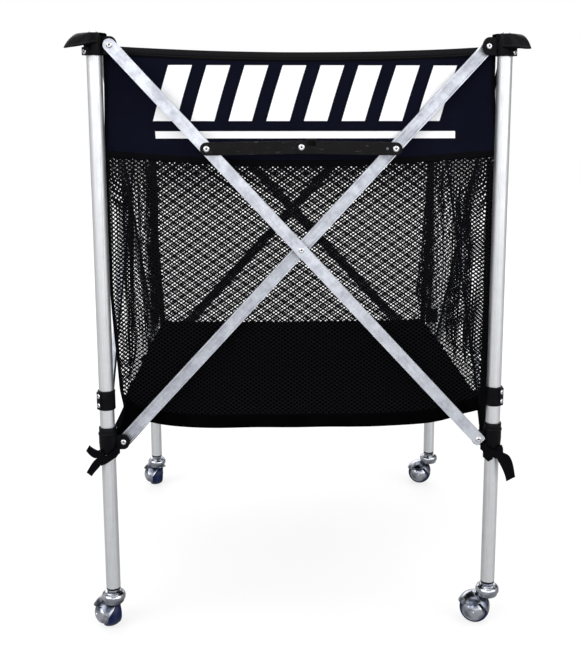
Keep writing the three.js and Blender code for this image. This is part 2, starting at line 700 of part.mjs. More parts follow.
function hub() {
	const { tyreBack, tyreFront, hub: core, dome } = WHEEL;
	const face = tyreFront - GAP;
	const domeSteps = [];
	const widest = Math.acos(-face / dome);
	for (let i = 0; i < 4; i += 1) {
		const angle = (widest * (4 - i)) / 4;
		domeSteps.push([dome * Math.sin(angle), -dome * Math.cos(angle)]);
	}
	return turnedOnAxle([
		[0, AXLE.inside - 1], [AXLE.bore, AXLE.inside - 1], [AXLE.bore, tyreBack - GAP], [core, tyreBack - GAP],
		[core, face], ...domeSteps, [0, -dome],
	]);
}

function caster(corner, name) {
	const group = new THREE.Group();
	group.rotation.z = radians(CASTER_TURN[corner] - 90 * corner);
	group.add(mesh(`caster_hood_${name}`, casterHood(), 'zinc'));
	group.add(mesh(`caster_tyre_${name}`, geometryOf(solid(tyre())), 'rubber'));
	group.add(mesh(`caster_hub_${name}`, geometryOf(solid(hub())), 'zinc'));
	return group;
}

function cornerPost(corner) {
	const name = CORNERS[corner];
	const group = new THREE.Group();
	group.position.set(-POST_SPACING / 2, -POST_SPACING / 2, 0);
	group.add(mesh(`post_${name}`, post(corner), 'aluminium'));
	group.add(mesh(`bracket_${name}`, bracket(), 'nylon'));
	group.add(mesh(`flap_${name}`, flap(), 'leatherette'));
	group.add(mesh(`cap_screw_${name}`, geometryOf(solid(capScrew())), 'rivet'));
	group.add(mesh(`stop_band_${name}`, stopBand(), 'nylon'));
	group.add(mesh(`slider_${name}`, slider(), 'nylon'));
	group.add(mesh(`tie_${name}`, tie(), 'tape'));
	group.add(mesh(`caster_stem_${name}`, geometryOf(solid(casterStem())), 'blackSteel'));
	group.add(caster(corner, name));
	return group;
}

function scissorSide(side) {
	const name = SIDES[side];
	const group = new THREE.Group();
	group.position.set(0, -POST_SPACING / 2, 0);
	const isFront = side === 0;
	const outer = mesh(`arm_outer_${name}`, outerArm(isFront), 'aluminium');
	const inner = mesh(`arm_inner_${name}`, innerArm(isFront), 'aluminium');
	outer.rotation.y = Math.PI / 2 - ARM_LEAN;
	inner.rotation.y = Math.PI / 2 + ARM_LEAN;
	for (const arm of [outer, inner]) {
		arm.position.z = CROSSING_Z;
		group.add(arm);
	}
	if (isFront) {
		const left = mesh('lock_link_left', leftLink(), 'blackSteel');
		left.position.set(-LOCK_REACH, 0, LOCK_Z);
		left.rotation.y = -LINK_TILT;
		const right = mesh('lock_link_right', rightLink(), 'blackSteel');
		right.position.set(0, 0, LOCK_Z + LINK.rise);
		right.rotation.y = LINK_TILT;
		group.add(left, right);
	}
	return group;
}

const cart = new THREE.Group();
for (let k = 0; k < 4; k += 1) {
	const quarter = new THREE.Group();
	quarter.rotation.z = (k * Math.PI) / 2;
	const edgeSag = [BAG.frontSag, 0, BAG.backSag, 0][k];
	quarter.add(cornerPost(k));
	quarter.add(scissorSide(k));
	quarter.add(mesh(`bag_wall_${SIDES[k]}`, bagWall(edgeSag), 'mesh'));
	cart.add(quarter);
}
cart.add(mesh('bag_floor', bagFloor(), 'cloth'));

export default cart;
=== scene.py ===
import math

import bmesh
import bpy
from bpy.props import FloatProperty, FloatVectorProperty, IntProperty, PointerProperty
from mathutils import Matrix, Vector


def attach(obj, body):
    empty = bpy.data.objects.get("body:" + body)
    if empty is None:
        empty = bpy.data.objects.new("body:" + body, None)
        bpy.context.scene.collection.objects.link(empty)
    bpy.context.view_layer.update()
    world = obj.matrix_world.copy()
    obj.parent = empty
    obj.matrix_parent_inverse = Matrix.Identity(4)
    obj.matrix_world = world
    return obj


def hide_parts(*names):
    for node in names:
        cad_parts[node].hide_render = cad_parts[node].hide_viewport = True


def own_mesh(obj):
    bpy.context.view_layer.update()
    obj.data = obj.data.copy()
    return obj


bl_info = {
    "name": "Folding ball cart",
    "version": (1, 0, 0),
    "blender": (4, 5, 0),
    "location": "3D View > Sidebar > Ball Cart",
    "description": "Builds the pieces, finishes and studio of a folding cart for sports balls",
    "category": "Add Mesh",
}

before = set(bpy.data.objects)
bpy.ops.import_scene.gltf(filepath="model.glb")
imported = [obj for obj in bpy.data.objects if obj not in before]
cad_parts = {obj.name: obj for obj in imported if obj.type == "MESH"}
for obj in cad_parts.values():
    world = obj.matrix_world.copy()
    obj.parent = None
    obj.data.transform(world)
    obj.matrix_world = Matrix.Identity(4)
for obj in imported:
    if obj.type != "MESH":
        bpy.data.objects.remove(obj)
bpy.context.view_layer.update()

# Sizes are in millimetres, and MM brings them to Blender's metres
MM = 0.001
CORNERS = ("front_left", "front_right", "back_right", "back_left")
SIDES = ("front", "right", "back", "left")

POST_SPACING = 620
TUBE_RADIUS, TUBE_BORE, TUBE_BOTTOM, TUBE_TOP = 11.5, 10.1, 77, 956
KEYWAY_WIDTH, KEYWAY_DEPTH, KEYWAY_TURN = 2.4, 0.8, 24
BORE = 11.8

PIVOT_INSET, TOP_PIVOT_Z, LOW_PIVOT_Z = 24.6, 945, 325.5
EAR_HALF, EAR_REACH, BRACKET_EAR_RISE, SLIDER_EAR_RISE = 2.5, 10, 13.5, 12
COLLAR = 14.3
BRACKET_BOTTOM, BRACKET_TOP, BRACKET_PAD, BRACKET_RIVET_Z = 930, 960.5, 17.3, 935.5
SLIDER_BOTTOM, SLIDER_WAIST, SLIDER_BEAD, SLIDER_RIM = 308, 325, 339, 351.7
STOP_BOTTOM, STOP_TOP, STOP_RADIUS, STOP_PAD, STOP_RIVETS = 381, 412, 14, 15.6, (389.5, 404.5)

ARM_HALF, ARM_NEAR, ARM_FAR, ARM_WEB, ARM_REACH, ARM_CORNER = 9.5, 2.9, 10.9, 1.6, 7, 3.5
LINK_HALF, LINK_NEAR, LINK_THICK, LINK_FROM_CENTRE, LINK_RISE = 9.9, 12.2, 2.5, 212.5, 2.6
GAP = 0.3

WHEEL_TRAIL, WHEEL_RADIUS, TYRE_BACK, TYRE_FRONT = 20, 25, 12.7, -5
SHOULDER, DOME_RIM, DOME_TOP = 11, 19.6, 24.4
HOOD_OUTER, HOOD_THICK, HOOD_CUT, HOOD_SLOPE = 29, 1.4, 40, 0.2
SKIRT_TURN, SKIRT_TIP, SKIRT_SPREAD = -28, 24, 35
CASTER_TURN = (-58, -22, -18, -70)

BAG_HALF, BAG_HALF_LOW, BAG_TAPER, BAG_TOP, BAG_TOP_SAG, BAG_FLOOR = 296, 287, 600, 946, 9, 372
BAG_EDGE_SAG, BAG_EDGE_BELLY, BAG_MIDDLE_SAG, BAG_CORNER = (31, 0, 3, 0), (6, 2, 2, 2), 12, 4
# How far each corner of the bag is drawn out to its post, low down and at the top
CORNER_DRAW, CORNER_DRAW_TOP = (4.5, 9, 5, 5), 2.4
FLOOR_HALF, FLOOR_THICK = 284.6, 2.5
BAND_SEAM_Z, BAND_SEAM_RISE = 764, 16
# Sideways share of a printed bar's height
BAR_LEAN = 0.32
FOLD_TRAVEL = 424.5

STUDIO_HALF = 9000
# Camera fitted to the photograph: its place, its angles in degrees, its lens, and its shift in pictures
CAMERA_PLACE, CAMERA_DIP, CAMERA_TURN = (-45.6, -1821.2, 855.3), 9.93, -2.13
CAMERA_LENS, CAMERA_SHIFT = 54.22, (-0.0271, -0.0728)
# Light that the studio floor adds for the camera, which brings it to white where no shadow falls
FLOOR_GLOW = 0.72

SPAN = POST_SPACING - 2 * PIVOT_INSET
HEIGHT = TOP_PIVOT_Z - LOW_PIVOT_Z
ARM_LENGTH = math.hypot(SPAN, HEIGHT) / 2
ARM_LEAN = math.atan2(SPAN, HEIGHT)
CROSSING_Z = (TOP_PIVOT_Z + LOW_PIVOT_Z) / 2
LOCK_REACH = LINK_FROM_CENTRE * math.sin(ARM_LEAN)
LOCK_Z = CROSSING_Z + LINK_FROM_CENTRE * math.cos(ARM_LEAN)
LINK_LENGTH = math.hypot(LOCK_REACH, LINK_RISE)
LINK_TILT = math.atan2(LINK_RISE, LOCK_REACH)


def linear(code):
    """An sRGB hex colour as the linear values that Blender's shaders take."""
    parts = [int(code[i : i + 2], 16) / 255 for i in (1, 3, 5)]
    return tuple(c / 12.92 if c <= 0.04045 else ((c + 0.055) / 1.055) ** 2.4 for c in parts)


def colour(name, description, code):
    return FloatVectorProperty(
        name=name, description=description, default=linear(code), subtype="COLOR", size=3, min=0, max=1
    )


def length(name, description, default):
    return FloatProperty(
        name=name, description=description, default=default * MM, min=0, unit="LENGTH", subtype="DISTANCE"
    )


class CartColours(bpy.types.PropertyGroup):
    """Colours of the cart's finishes"""

    tube: colour("Post tube", "Satin anodised aluminium of the posts", "#e3e4e7")
    channel: colour("Arm channel", "Mill-finish aluminium of the scissor arms", "#d3d7df")
    channel_stain: colour("Channel staining", "Handling and oxide stains on the arms", "#bbbec8")
    nylon: colour("Moulded nylon", "Brackets, sliders and stop bands", "#050509")
    cloth: colour("Band cloth", "Woven band round the bag's top", "#080a19")
    print: colour("Band print", "Screen-printed bars and stripe", "#f3f3f5")
    net: colour("Net", "Knitted mesh of the bag's walls", "#060609")
    leatherette: colour("Leatherette", "Corner flaps and the bag's top binding", "#07070b")
    tape: colour("Tape", "Woven tape of the ties and seams", "#08080b")
    tread: colour("Caster tread", "Moulded tread of the wheels", "#08163c")
    link: colour("Lock link", "Blackened steel of the lock links", "#070608")
    chrome: colour("Caster plating", "Bright plating of hoods and domes", "#b9bcc4")


class CartSizes(bpy.types.PropertyGroup):
    """Sizes of the cart's cloth and print, which leave the frame as it is"""

    net_pitch: length("Net pitch", "Distance from one hole of the net to the next along a row", 9.4)
    net_rows: length("Net rows", "Height of two rows of holes, which stand staggered", 6.6)
    net_hole: length("Net hole", "Width of one hole of the net", 4.6)
    gather_depth: length("Gather depth", "Depth of the side walls' upright folds", 26)
    gather_count: IntProperty(name="Gathers", description="Folds of each side wall", default=6, min=1)
    hem_height: length("Floor hem", "Height of the floor cloth turned up the walls", 22)
    binding_height: length("Binding", "Height of the leatherette over the bag's top edge", 13)
    bar_pitch: length("Bar pitch", "Distance from one printed bar to the next", 58)
    bar_height: length("Bar height", "Height of the printed bars", 84)
    bar_width: length("Bar width", "Width of one printed bar", 36)
    stripe_height: length("Stripe height", "Height of the stripe under the bars", 11)
    stitch: length("Stitch", "Length from one stitch to the next", 4)


def colours():
    return bpy.context.scene.cart_colours


def sizes():
    return bpy.context.scene.cart_sizes


def add(tree, kind, inputs=None, **settings):
    """A new shader node with its settings; each input is a value or the socket that feeds it."""
    node = tree.nodes.new("ShaderNode" + kind)
    for name, value in settings.items():
        setattr(node, name, value)
    for name, value in (inputs or {}).items():
        if isinstance(value, bpy.types.NodeSocket):
            tree.links.new(value, node.inputs[name])
        else:
            node.inputs[name].default_value = value
    return node


def finish(build):
    """The material that build makes, named for it and made once."""
    made = bpy.data.materials.get(build.__name__)
    if made is None:
        made = bpy.data.materials.new(build.__name__)
        made.use_nodes = True
        build(made.node_tree, made.node_tree.nodes["Principled BSDF"])
    return made


def tone(tree, factor, low, high):
    """A colour that goes from low to high with the factor."""
    inputs = {0: factor, 6: (*low, 1), 7: (*high, 1)}
    return add(tree, "Mix", inputs, data_type="RGBA").outputs[2]


def spread(tree, value, low, high, start=0.3, end=0.7):
    """A value of a pattern, taken from the range start to end and spread over low to high."""
    inputs = {"Value": value, "From Min": start, "From Max": end, "To Min": low, "To Max": high}
    return add(tree, "MapRange", inputs).outputs[0]


def shade(colour_value, share):
    return tuple(c * share for c in colour_value)


def drawn_anodised_aluminium(tree, body):
    # Tube drawn through a die, then satin anodised: a pale, wide sheen with faint lines along its length
    base = colours().tube
    place = add(tree, "TexCoord").outputs["Object"]
    # Die lines about 1.4 mm apart and 110 mm long
    stretched = add(tree, "Mapping", {"Vector": place, "Scale": (700, 700, 9)}).outputs[0]
    lines = add(tree, "TexNoise", {"Vector": stretched, "Scale": 1, "Detail": 4}).outputs[0]
    # Handling marks of about 30 mm
    marks = add(tree, "TexNoise", {"Vector": place, "Scale": 33, "Detail": 5}).outputs[0]
    both = add(tree, "Math", {0: lines, 1: marks}, operation="MULTIPLY").outputs[0]
    drawn = tone(tree, spread(tree, both, 0, 1, 0.12, 0.4), shade(base, 0.8), base)
    tree.links.new(drawn, body.inputs["Base Color"])
    tree.links.new(spread(tree, marks, 0.5, 0.38), body.inputs["Roughness"])
    bump = add(tree, "Bump", {"Height": lines, "Strength": 0.12, "Distance": 0.0003})
    tree.links.new(bump.outputs[0], body.inputs["Normal"])
    body.inputs["Metallic"].default_value = 1


def rolled_channel(tree, body, share, matt):
    """Rolled aluminium: lines along the arm and ragged oxide stains, darkened by a share."""
    base, stain = colours().channel, colours().channel_stain
    place = add(tree, "TexCoord").outputs["Object"]
    # Rolling lines about 0.9 mm apart and 170 mm long
    stretched = add(tree, "Mapping", {"Vector": place, "Scale": (6, 1100, 1100)}).outputs[0]
    lines = add(tree, "TexNoise", {"Vector": stretched, "Scale": 1, "Detail": 5}).outputs[0]
    # Stains of about 20 mm
    stains = add(tree, "TexNoise", {"Vector": place, "Scale": 50, "Detail": 8, "Roughness": 0.7}).outputs[0]
    both = add(tree, "Math", {0: lines, 1: 0.3, 2: stains}, operation="MULTIPLY_ADD").outputs[0]
    worn = tone(tree, spread(tree, both, 0, 1, 0.52, 0.78), shade(stain, share * 0.86), shade(base, share))
    tree.links.new(worn, body.inputs["Base Color"])
    tree.links.new(spread(tree, stains, matt + 0.08, matt - 0.08), body.inputs["Roughness"])
    bump = add(tree, "Bump", {"Height": lines, "Strength": 0.08, "Distance": 0.0003})
    tree.links.new(bump.outputs[0], body.inputs["Normal"])
    body.inputs["Metallic"].default_value = 1


def mill_finish_channel(tree, body):
    # Aluminium channel left in its mill finish: blue-grey and softly bright, with lines along the arm
    rolled_channel(tree, body, 1, 0.46)


def bag_side_channel_painted_shade(tree, body):
    # Painted shade on the channel's faces towards the bag and on the outer arm's hollow: the same metal
    # darkened to a third and made matt
    rolled_channel(tree, body, 0.3, 0.7)


def channel_hollow_painted_shade(tree, body):
    # Painted shade in the inner arm's hollow: the same metal a little darker and more matt
    rolled_channel(tree, body, 0.9, 0.5)


def moulded_black_nylon(tree, body):
    # Injection-moulded nylon with a spark-eroded grain: nearly black, with a soft gloss, slightly worn paler
    base = colours().nylon
    place = add(tree, "TexCoord").outputs["Object"]
    # Mould grain is about 0.1 mm and is drawn at 0.7 mm so that it shows
    grain = add(tree, "TexNoise", {"Vector": place, "Scale": 1400, "Detail": 2}).outputs[0]
    wear = add(tree, "TexNoise", {"Vector": place, "Scale": 60, "Detail": 6}).outputs[0]
    worn = tuple(c + 0.003 for c in base)
    tree.links.new(tone(tree, spread(tree, wear, 0, 1, 0.5, 0.75), base, worn), body.inputs["Base Color"])
    tree.links.new(spread(tree, wear, 0.36, 0.5), body.inputs["Roughness"])
    bump = add(tree, "Bump", {"Height": grain, "Strength": 0.15, "Distance": 0.0002})
    tree.links.new(bump.outputs[0], body.inputs["Normal"])
    body.inputs["IOR"].default_value = 1.53
    body.inputs["Specular IOR Level"].default_value = 0.07


def bright_rivet_aluminium(tree, body):
    # Set aluminium blind rivet: bright, with fine scratches from the setting tool
    place = add(tree, "TexCoord").outputs["Object"]
    # Scratches about 0.6 mm apart
    marks = add(tree, "TexNoise", {"Vector": place, "Scale": 1600, "Detail": 3}).outputs[0]
    pale, dull = linear("#e2e2e4"), linear("#b9b9be")
    tree.links.new(tone(tree, spread(tree, marks, 0, 1), dull, pale), body.inputs["Base Color"])
    tree.links.new(spread(tree, marks, 0.32, 0.2), body.inputs["Roughness"])
    body.inputs["Metallic"].default_value = 1


def dark_rivet_core(tree, body):
    # Steel mandrel left in a blind rivet's middle: dull and dark in its hole
    place = add(tree, "TexCoord").outputs["Object"]
    marks = add(tree, "TexNoise", {"Vector": place, "Scale": 1800}).outputs[0]
    tree.links.new(tone(tree, marks, linear("#2c2c30"), linear("#55555a")), body.inputs["Base Color"])
    body.inputs["Metallic"].default_value = 1
    body.inputs["Roughness"].default_value = 0.5


def blackened_steel(tree, body):
    # Hot-rolled flat bar, blackened and oiled: brownish black with scuffs where the steel shows
    base = colours().link
    place = add(tree, "TexCoord").outputs["Object"]
    # Scuffs along the bar, about 2 mm by 12 mm
    stretched = add(tree, "Mapping", {"Vector": place, "Scale": (85, 500, 500)}).outputs[0]
    inputs = {"Vector": stretched, "Scale": 1, "Detail": 6, "Roughness": 0.7}
    scuffs = add(tree, "TexNoise", inputs).outputs[0]
    clouds = add(tree, "TexNoise", {"Vector": place, "Scale": 45, "Detail": 4}).outputs[0]
    brown = tone(tree, spread(tree, clouds, 0, 1), base, linear("#100e0f"))
    bare = add(
        tree, "Mix", {0: spread(tree, scuffs, 0, 0.6, 0.62, 0.75), 6: brown, 7: (*linear("#77747a"), 1)},
        data_type="RGBA",
    ).outputs[2]
    tree.links.new(bare, body.inputs["Base Color"])
    tree.links.new(spread(tree, clouds, 0.3, 0.45), body.inputs["Roughness"])
    body.inputs["Metallic"].default_value = 0.1
    body.inputs["Specular IOR Level"].default_value = 0.1


def bright_plated_zinc(tree, body):
    # Die-cast and pressed zinc with bright plating: mirror-like, with dark clouds of painted reflection in
    # its colour
    base = colours().chrome
    place = add(tree, "TexCoord").outputs["Object"]
    # Dark clouds of painted reflection about 30 mm across, and wipe marks of 2 mm
    inputs = {"Vector": place, "Scale": 32, "Detail": 1, "Distortion": 0.8}
    clouds = add(tree, "TexNoise", inputs).outputs[0]
    wipes = add(tree, "TexNoise", {"Vector": place, "Scale": 500, "Detail": 3}).outputs[0]
    painted_reflection = tone(tree, spread(tree, clouds, 0, 1, 0.38, 0.6), linear("#474c59"), base)
    tree.links.new(painted_reflection, body.inputs["Base Color"])
    tree.links.new(spread(tree, wipes, 0.14, 0.24), body.inputs["Roughness"])
    body.inputs["Metallic"].default_value = 1


def moulded_tread(tree, body):
    # Moulded polyurethane tread: deep navy with a soft shine, greyed by dust round its rolling line
    base = colours().tread
    place = add(tree, "TexCoord").outputs["Object"]
    across = add(tree, "SeparateXYZ", {0: place}).outputs["Y"]
    ring = add(tree, "Math", {0: across}, operation="ABSOLUTE").outputs[0]
    dust = add(tree, "TexNoise", {"Vector": place, "Scale": 260, "Detail": 6}).outputs[0]
    near = spread(tree, ring, 0.25, 0, 0.0005, 0.006)
    dusty = add(tree, "Math", {0: near, 1: dust}, operation="MULTIPLY").outputs[0]
    tree.links.new(tone(tree, dusty, base, linear("#4d5568")), body.inputs["Base Color"])
    tree.links.new(spread(tree, dusty, 0.3, 0.6, 0, 0.5), body.inputs["Roughness"])
    body.inputs["IOR"].default_value = 1.5
    body.inputs["Specular IOR Level"].default_value = 0.18


def knitted_net(tree, body):
    # Warp-knitted polyester net: matt black threads round staggered oval holes that show what is behind
    size = sizes()
    place = add(tree, "UVMap", uv_map="cloth").outputs[0]
    scale = (math.sqrt(2) / size.net_pitch, math.sqrt(2) / size.net_rows, 1)
    staggered = add(tree, "Mapping", {"Vector": place, "Rotation": (0, 0, math.pi / 4), "Scale": scale})
    cell = add(tree, "VectorMath", {0: staggered.outputs[0]}, operation="FRACTION").outputs[0]
    middle = add(tree, "VectorMath", {0: cell, 1: (0.5, 0.5, 0)}, operation="SUBTRACT").outputs[0]
    away = add(tree, "VectorMath", {0: middle}, operation="LENGTH").outputs["Value"]
    # The holes close up by a quarter where the net is gathered under the band, 690 to 760 mm above the floor
    height = add(tree, "SeparateXYZ", {0: place}).outputs["Y"]
    drawn = spread(tree, height, 1, 0.74, 0.69, 0.76)
    share = add(tree, "Math", {0: away, 1: drawn}, operation="DIVIDE").outputs[0]
    edge = size.net_hole / size.net_pitch / math.sqrt(2)
    tree.links.new(spread(tree, share, 0, 1, edge - 0.03, edge + 0.03), body.inputs["Alpha"])
    # Knit yarns are 0.2 mm and are drawn at 0.5 mm
    yarn = add(tree, "TexNoise", {"Vector": place, "Scale": 2000, "Detail": 2}).outputs[0]
    base = colours().net
    pale = tuple(c + 0.004 for c in base)
    tree.links.new(tone(tree, spread(tree, yarn, 0, 1), base, pale), body.inputs["Base Color"])
    round_thread = add(tree, "Math", {0: away, 1: yarn}, operation="ADD").outputs[0]
    bump = add(tree, "Bump", {"Height": round_thread, "Strength": 0.5, "Distance": 0.0004})
    tree.links.new(bump.outputs[0], body.inputs["Normal"])
    body.inputs["Roughness"].default_value = 0.8
    body.inputs["Specular IOR Level"].default_value = 0.02


def weave(tree, body, base, thread, sheen, gloss=0.02):
    """Plain weave of the given thread spacing: over-and-under cells with a slight change of tone."""
    place = add(tree, "UVMap", uv_map="cloth").outputs[0]
    inputs = {
        "Vector": place, "Color1": (0.45,) * 3 + (1,), "Color2": (0.9,) * 3 + (1,), "Mortar": (0, 0, 0, 1),
        "Scale": 1 / thread, "Mortar Size": 0.09, "Mortar Smooth": 1, "Brick Width": 1, "Row Height": 0.5,
    }
    cells = add(tree, "TexBrick", inputs)
    cloud = add(tree, "TexNoise", {"Vector": place, "Scale": 24, "Detail": 4}).outputs[0]
    mixed = add(tree, "Math", {0: cells.outputs[0], 1: cloud}, operation="MULTIPLY").outputs[0]
    raised_thread = tuple(c * 1.2 + 0.0008 for c in base)
    cloth = tone(tree, spread(tree, mixed, 0, 1, 0.05, 0.5), shade(base, 0.75), raised_thread)
    tree.links.new(cloth, body.inputs["Base Color"])
    raised = add(tree, "Math", {0: 1.0, 1: cells.outputs["Fac"]}, operation="SUBTRACT").outputs[0]
    bump = add(tree, "Bump", {"Height": raised, "Strength": 0.35, "Distance": 0.0003})
    tree.links.new(bump.outputs[0], body.inputs["Normal"])
    body.inputs["Roughness"].default_value = 0.72
    body.inputs["Sheen Weight"].default_value = sheen
    body.inputs["Specular IOR Level"].default_value = gloss
    return cloth


def woven_band_polyester(tree, body):
    # Woven polyester band: navy black and flat, with a slight bloom; 0.5 mm threads are drawn at 1.6 mm
    weave(tree, body, colours().cloth, 0.0016, 0.05)


def printed_band_polyester(tree, body):
    # The same woven band with flat white screen ink: leaning bars over one long stripe
    cloth = weave(tree, body, colours().cloth, 0.0016, 0.05)
    size = sizes()
    place = add(tree, "UVMap", uv_map="cloth").outputs[0]
    across = add(tree, "SeparateXYZ", {0: place})
    inputs = {0: across.outputs["Y"], 1: -BAR_LEAN, 2: across.outputs["X"]}
    lean = add(tree, "Math", inputs, operation="MULTIPLY_ADD")
    # Eight bars between the posts, in millimetres from the wall's middle
    bars, middle, bar_z, stripe_z = 8, 6, 875, 812
    offset = bars * size.bar_pitch / 2 - middle * MM + BAR_LEAN * bar_z * MM
    along = add(tree, "Math", {0: lean.outputs[0], 1: offset}, operation="ADD").outputs[0]
    wrapped = add(tree, "Math", {0: along, 1: size.bar_pitch, 2: 0}, operation="WRAP").outputs[0]
    inputs = {0: wrapped, 1: size.bar_pitch / 2, 2: size.bar_width / 2}
    in_bar = add(tree, "Math", inputs, operation="COMPARE")
    half = bars * size.bar_pitch / 2
    in_row = add(tree, "Math", {0: along, 1: half, 2: half}, operation="COMPARE")
    in_height = add(
        tree, "Math", {0: across.outputs["Y"], 1: bar_z * MM, 2: size.bar_height / 2}, operation="COMPARE"
    )
    in_stripe = add(
        tree, "Math", {0: across.outputs["Y"], 1: stripe_z * MM, 2: size.stripe_height / 2},
        operation="COMPARE",
    )
    in_length = add(tree, "Math", {0: across.outputs["X"], 1: middle * MM, 2: half}, operation="COMPARE")
    ink = in_bar.outputs[0]
    for other in (in_row, in_height):
        ink = add(tree, "Math", {0: ink, 1: other.outputs[0]}, operation="MULTIPLY").outputs[0]
    stripe = add(
        tree, "Math", {0: in_stripe.outputs[0], 1: in_length.outputs[0]}, operation="MULTIPLY"
    ).outputs[0]
    ink = add(tree, "Math", {0: ink, 1: stripe}, operation="MAXIMUM").outputs[0]
    inked = add(tree, "Mix", {0: ink, 6: cloth, 7: (*colours().print, 1)}, data_type="RGBA")
    tree.links.new(inked.outputs[2], body.inputs["Base Color"])
    tree.links.new(spread(tree, ink, 0.72, 0.5, 0, 1), body.inputs["Roughness"])


def woven_tape(tree, body):
    # Woven polyester tape: black with close ribs across; 0.8 mm ribs are drawn at 1.4 mm
    weave(tree, body, colours().tape, 0.0014, 0.0)


def coated_floor_cloth(tree, body):
    # Heavy woven floor, coated inside: black and dull; 0.7 mm threads are drawn at 2 mm
    weave(tree, body, linear("#030304"), 0.002, 0.0, 0.0)


def stitched_leatherette(tree, body):
    # Calendered vinyl leatherette: navy black with a pebbled grain, a low sheen and one row of stitches
    base = colours().leatherette
    step = sizes().stitch
    grid = add(tree, "TexCoord").outputs["Object"]
    # Pebbles are 0.8 mm and are drawn at 1.5 mm
    inputs = {"Vector": grid, "Scale": 660, "Smoothness": 0.5}
    grain = add(tree, "TexVoronoi", inputs, feature="SMOOTH_F1").outputs["Distance"]
    place = add(tree, "UVMap", uv_map="cloth").outputs[0]
    across = add(tree, "SeparateXYZ", {0: place})
    wrapped = add(tree, "Math", {0: across.outputs["X"], 1: step, 2: 0}, operation="WRAP").outputs[0]
    dash = add(tree, "Math", {0: wrapped, 1: step / 2, 2: step * 0.34}, operation="COMPARE").outputs[0]
    # The row runs 3 mm from the edge, in thread drawn 1 mm wide
    row = add(tree, "Math", {0: across.outputs["Y"], 1: 0.003, 2: 0.0005}, operation="COMPARE").outputs[0]
    thread = add(tree, "Math", {0: dash, 1: row}, operation="MULTIPLY").outputs[0]
    pale = tuple(c + 0.003 for c in base)
    grained = tone(tree, spread(tree, grain, 0, 1, 0.1, 0.6), pale, shade(base, 0.7))
    sewn = add(tree, "Mix", {0: thread, 6: grained, 7: (*linear("#242321"), 1)}, data_type="RGBA")
    tree.links.new(sewn.outputs[2], body.inputs["Base Color"])
    height = add(tree, "Math", {0: grain, 1: -0.5, 2: thread}, operation="MULTIPLY_ADD").outputs[0]
    bump = add(tree, "Bump", {"Height": height, "Strength": 0.35, "Distance": 0.0005})
    tree.links.new(bump.outputs[0], body.inputs["Normal"])
    body.inputs["Roughness"].default_value = 0.46
    body.inputs["IOR"].default_value = 1.52
    body.inputs["Specular IOR Level"].default_value = 0.08


class Form:
    """Points in millimetres and the faces between them, gathered from closed shapes or one sheet."""

    def __init__(self):
        self.points, self.faces, self.shades, self.cloth = [], [], [], []

    def add(self, shape, place=None, material=0):
        points, faces = shape
        start = len(self.points)
        self.points += [place @ Vector(p) if place else Vector(p) for p in points]
        self.faces += [[start + i for i in face] for face in faces]
        self.shades += [material] * len(faces)
        return self


def cloth_form(shape, cloth):
    """A sheet with its cloth coordinates in metres, one pair for each point."""
    form = Form().add(shape)
    form.cloth = cloth
    return form


def turned(profile, steps=56):
    """A turned shape about Z from points of radius and height; one that leaves the axis free is a ring."""
    points, rings, faces = [], [], []
    for radius, z in profile:
        count = steps if radius > 0 else 1
        rings.append([len(points) + i % count for i in range(steps)])
        for i in range(count):
            angle = 2 * math.pi * i / steps
            points.append((radius * math.cos(angle), radius * math.sin(angle), z))
    pairs = list(zip(rings, rings[1:]))
    if profile[0][0] > 0 and profile[-1][0] > 0:
        pairs.append((rings[-1], rings[0]))
    for low, high in pairs:
        for i in range(steps):
            j = (i + 1) % steps
            face = list(dict.fromkeys([low[i], low[j], high[j], high[i]]))
            if len(face) > 2:
                faces.append(face)
    return points, faces


def rod(radius, low, high, steps):
    return turned([(0, low), (radius, low), (radius, high), (0, high)], steps)


def slab(outline, low, high):
    """A plate whose outline is drawn in X and Z, filling low to high along Y."""
    n = len(outline)
    points = [(x, y, z) for y in (low, high) for x, z in outline]
    faces = [list(range(n)), list(range(2 * n - 1, n - 1, -1))]
    faces += [[i, i + n, (i + 1) % n + n, (i + 1) % n] for i in range(n)]
    return points, faces


def block(low, high):
    outline = [(low[0], low[2]), (high[0], low[2]), (high[0], high[2]), (low[0], high[2])]
    return slab(outline, low[1], high[1])


def arc(x, z, radius, start, end, steps=16, rise=None):
    """Points of a part turn in X and Z, in degrees; rise makes it part of an ellipse."""
    angles = [math.radians(start + (end - start) * i / steps) for i in range(steps + 1)]
    return [(x + radius * math.cos(a), z + (rise or radius) * math.sin(a)) for a in angles]


def cells(across, along):
    """Faces of a sheet whose points run along its rows."""
    row = across + 1
    starts = [j * row + i for j in range(along) for i in range(across)]
    return [[a, a + 1, a + row + 1, a + row] for a in starts]


def grid(across, along, at):
    """A sheet of across by along faces; at gives the point for two shares from 0 to 1."""
    points = [at(i / across, j / along) for j in range(along + 1) for i in range(across + 1)]
    return points, cells(across, along)


def ribbon(path, width, thick, sideways):
    """A flat tape along a path of points, with its width along the sideways direction."""
    side = Vector(sideways).normalized()
    points, faces = [], []
    for i, point in enumerate(path):
        before, after = Vector(path[max(i - 1, 0)]), Vector(path[min(i + 1, len(path) - 1)])
        up = side.cross(after - before).normalized() * thick / 2
        out = side * (width[i] if isinstance(width, list) else width) / 2
        centre = Vector(point)
        points += [centre + out + up, centre - out + up, centre - out - up, centre + out - up]
    for i in range(len(path) - 1):
        for k in range(4):
            a, b = 4 * i + k, 4 * i + (k + 1) % 4
            faces.append([a, b, b + 4, a + 4])
    last = 4 * (len(path) - 1)
    return points, faces + [[3, 2, 1, 0], [last, last + 1, last + 2, last + 3]]


def bezier(start, control, end, steps):
    points = []
    for i in range(steps + 1):
        t = i / steps
        points.append(Vector(start) * (1 - t) ** 2 + Vector(control) * 2 * t * (1 - t) + Vector(end) * t * t)
    return points


def about(turn, x=0, y=0, z=0):
    """Place of a shape turned about Z by degrees after a move."""
    return Matrix.Rotation(math.radians(turn), 4, "Z") @ Matrix.Translation((x, y, z))


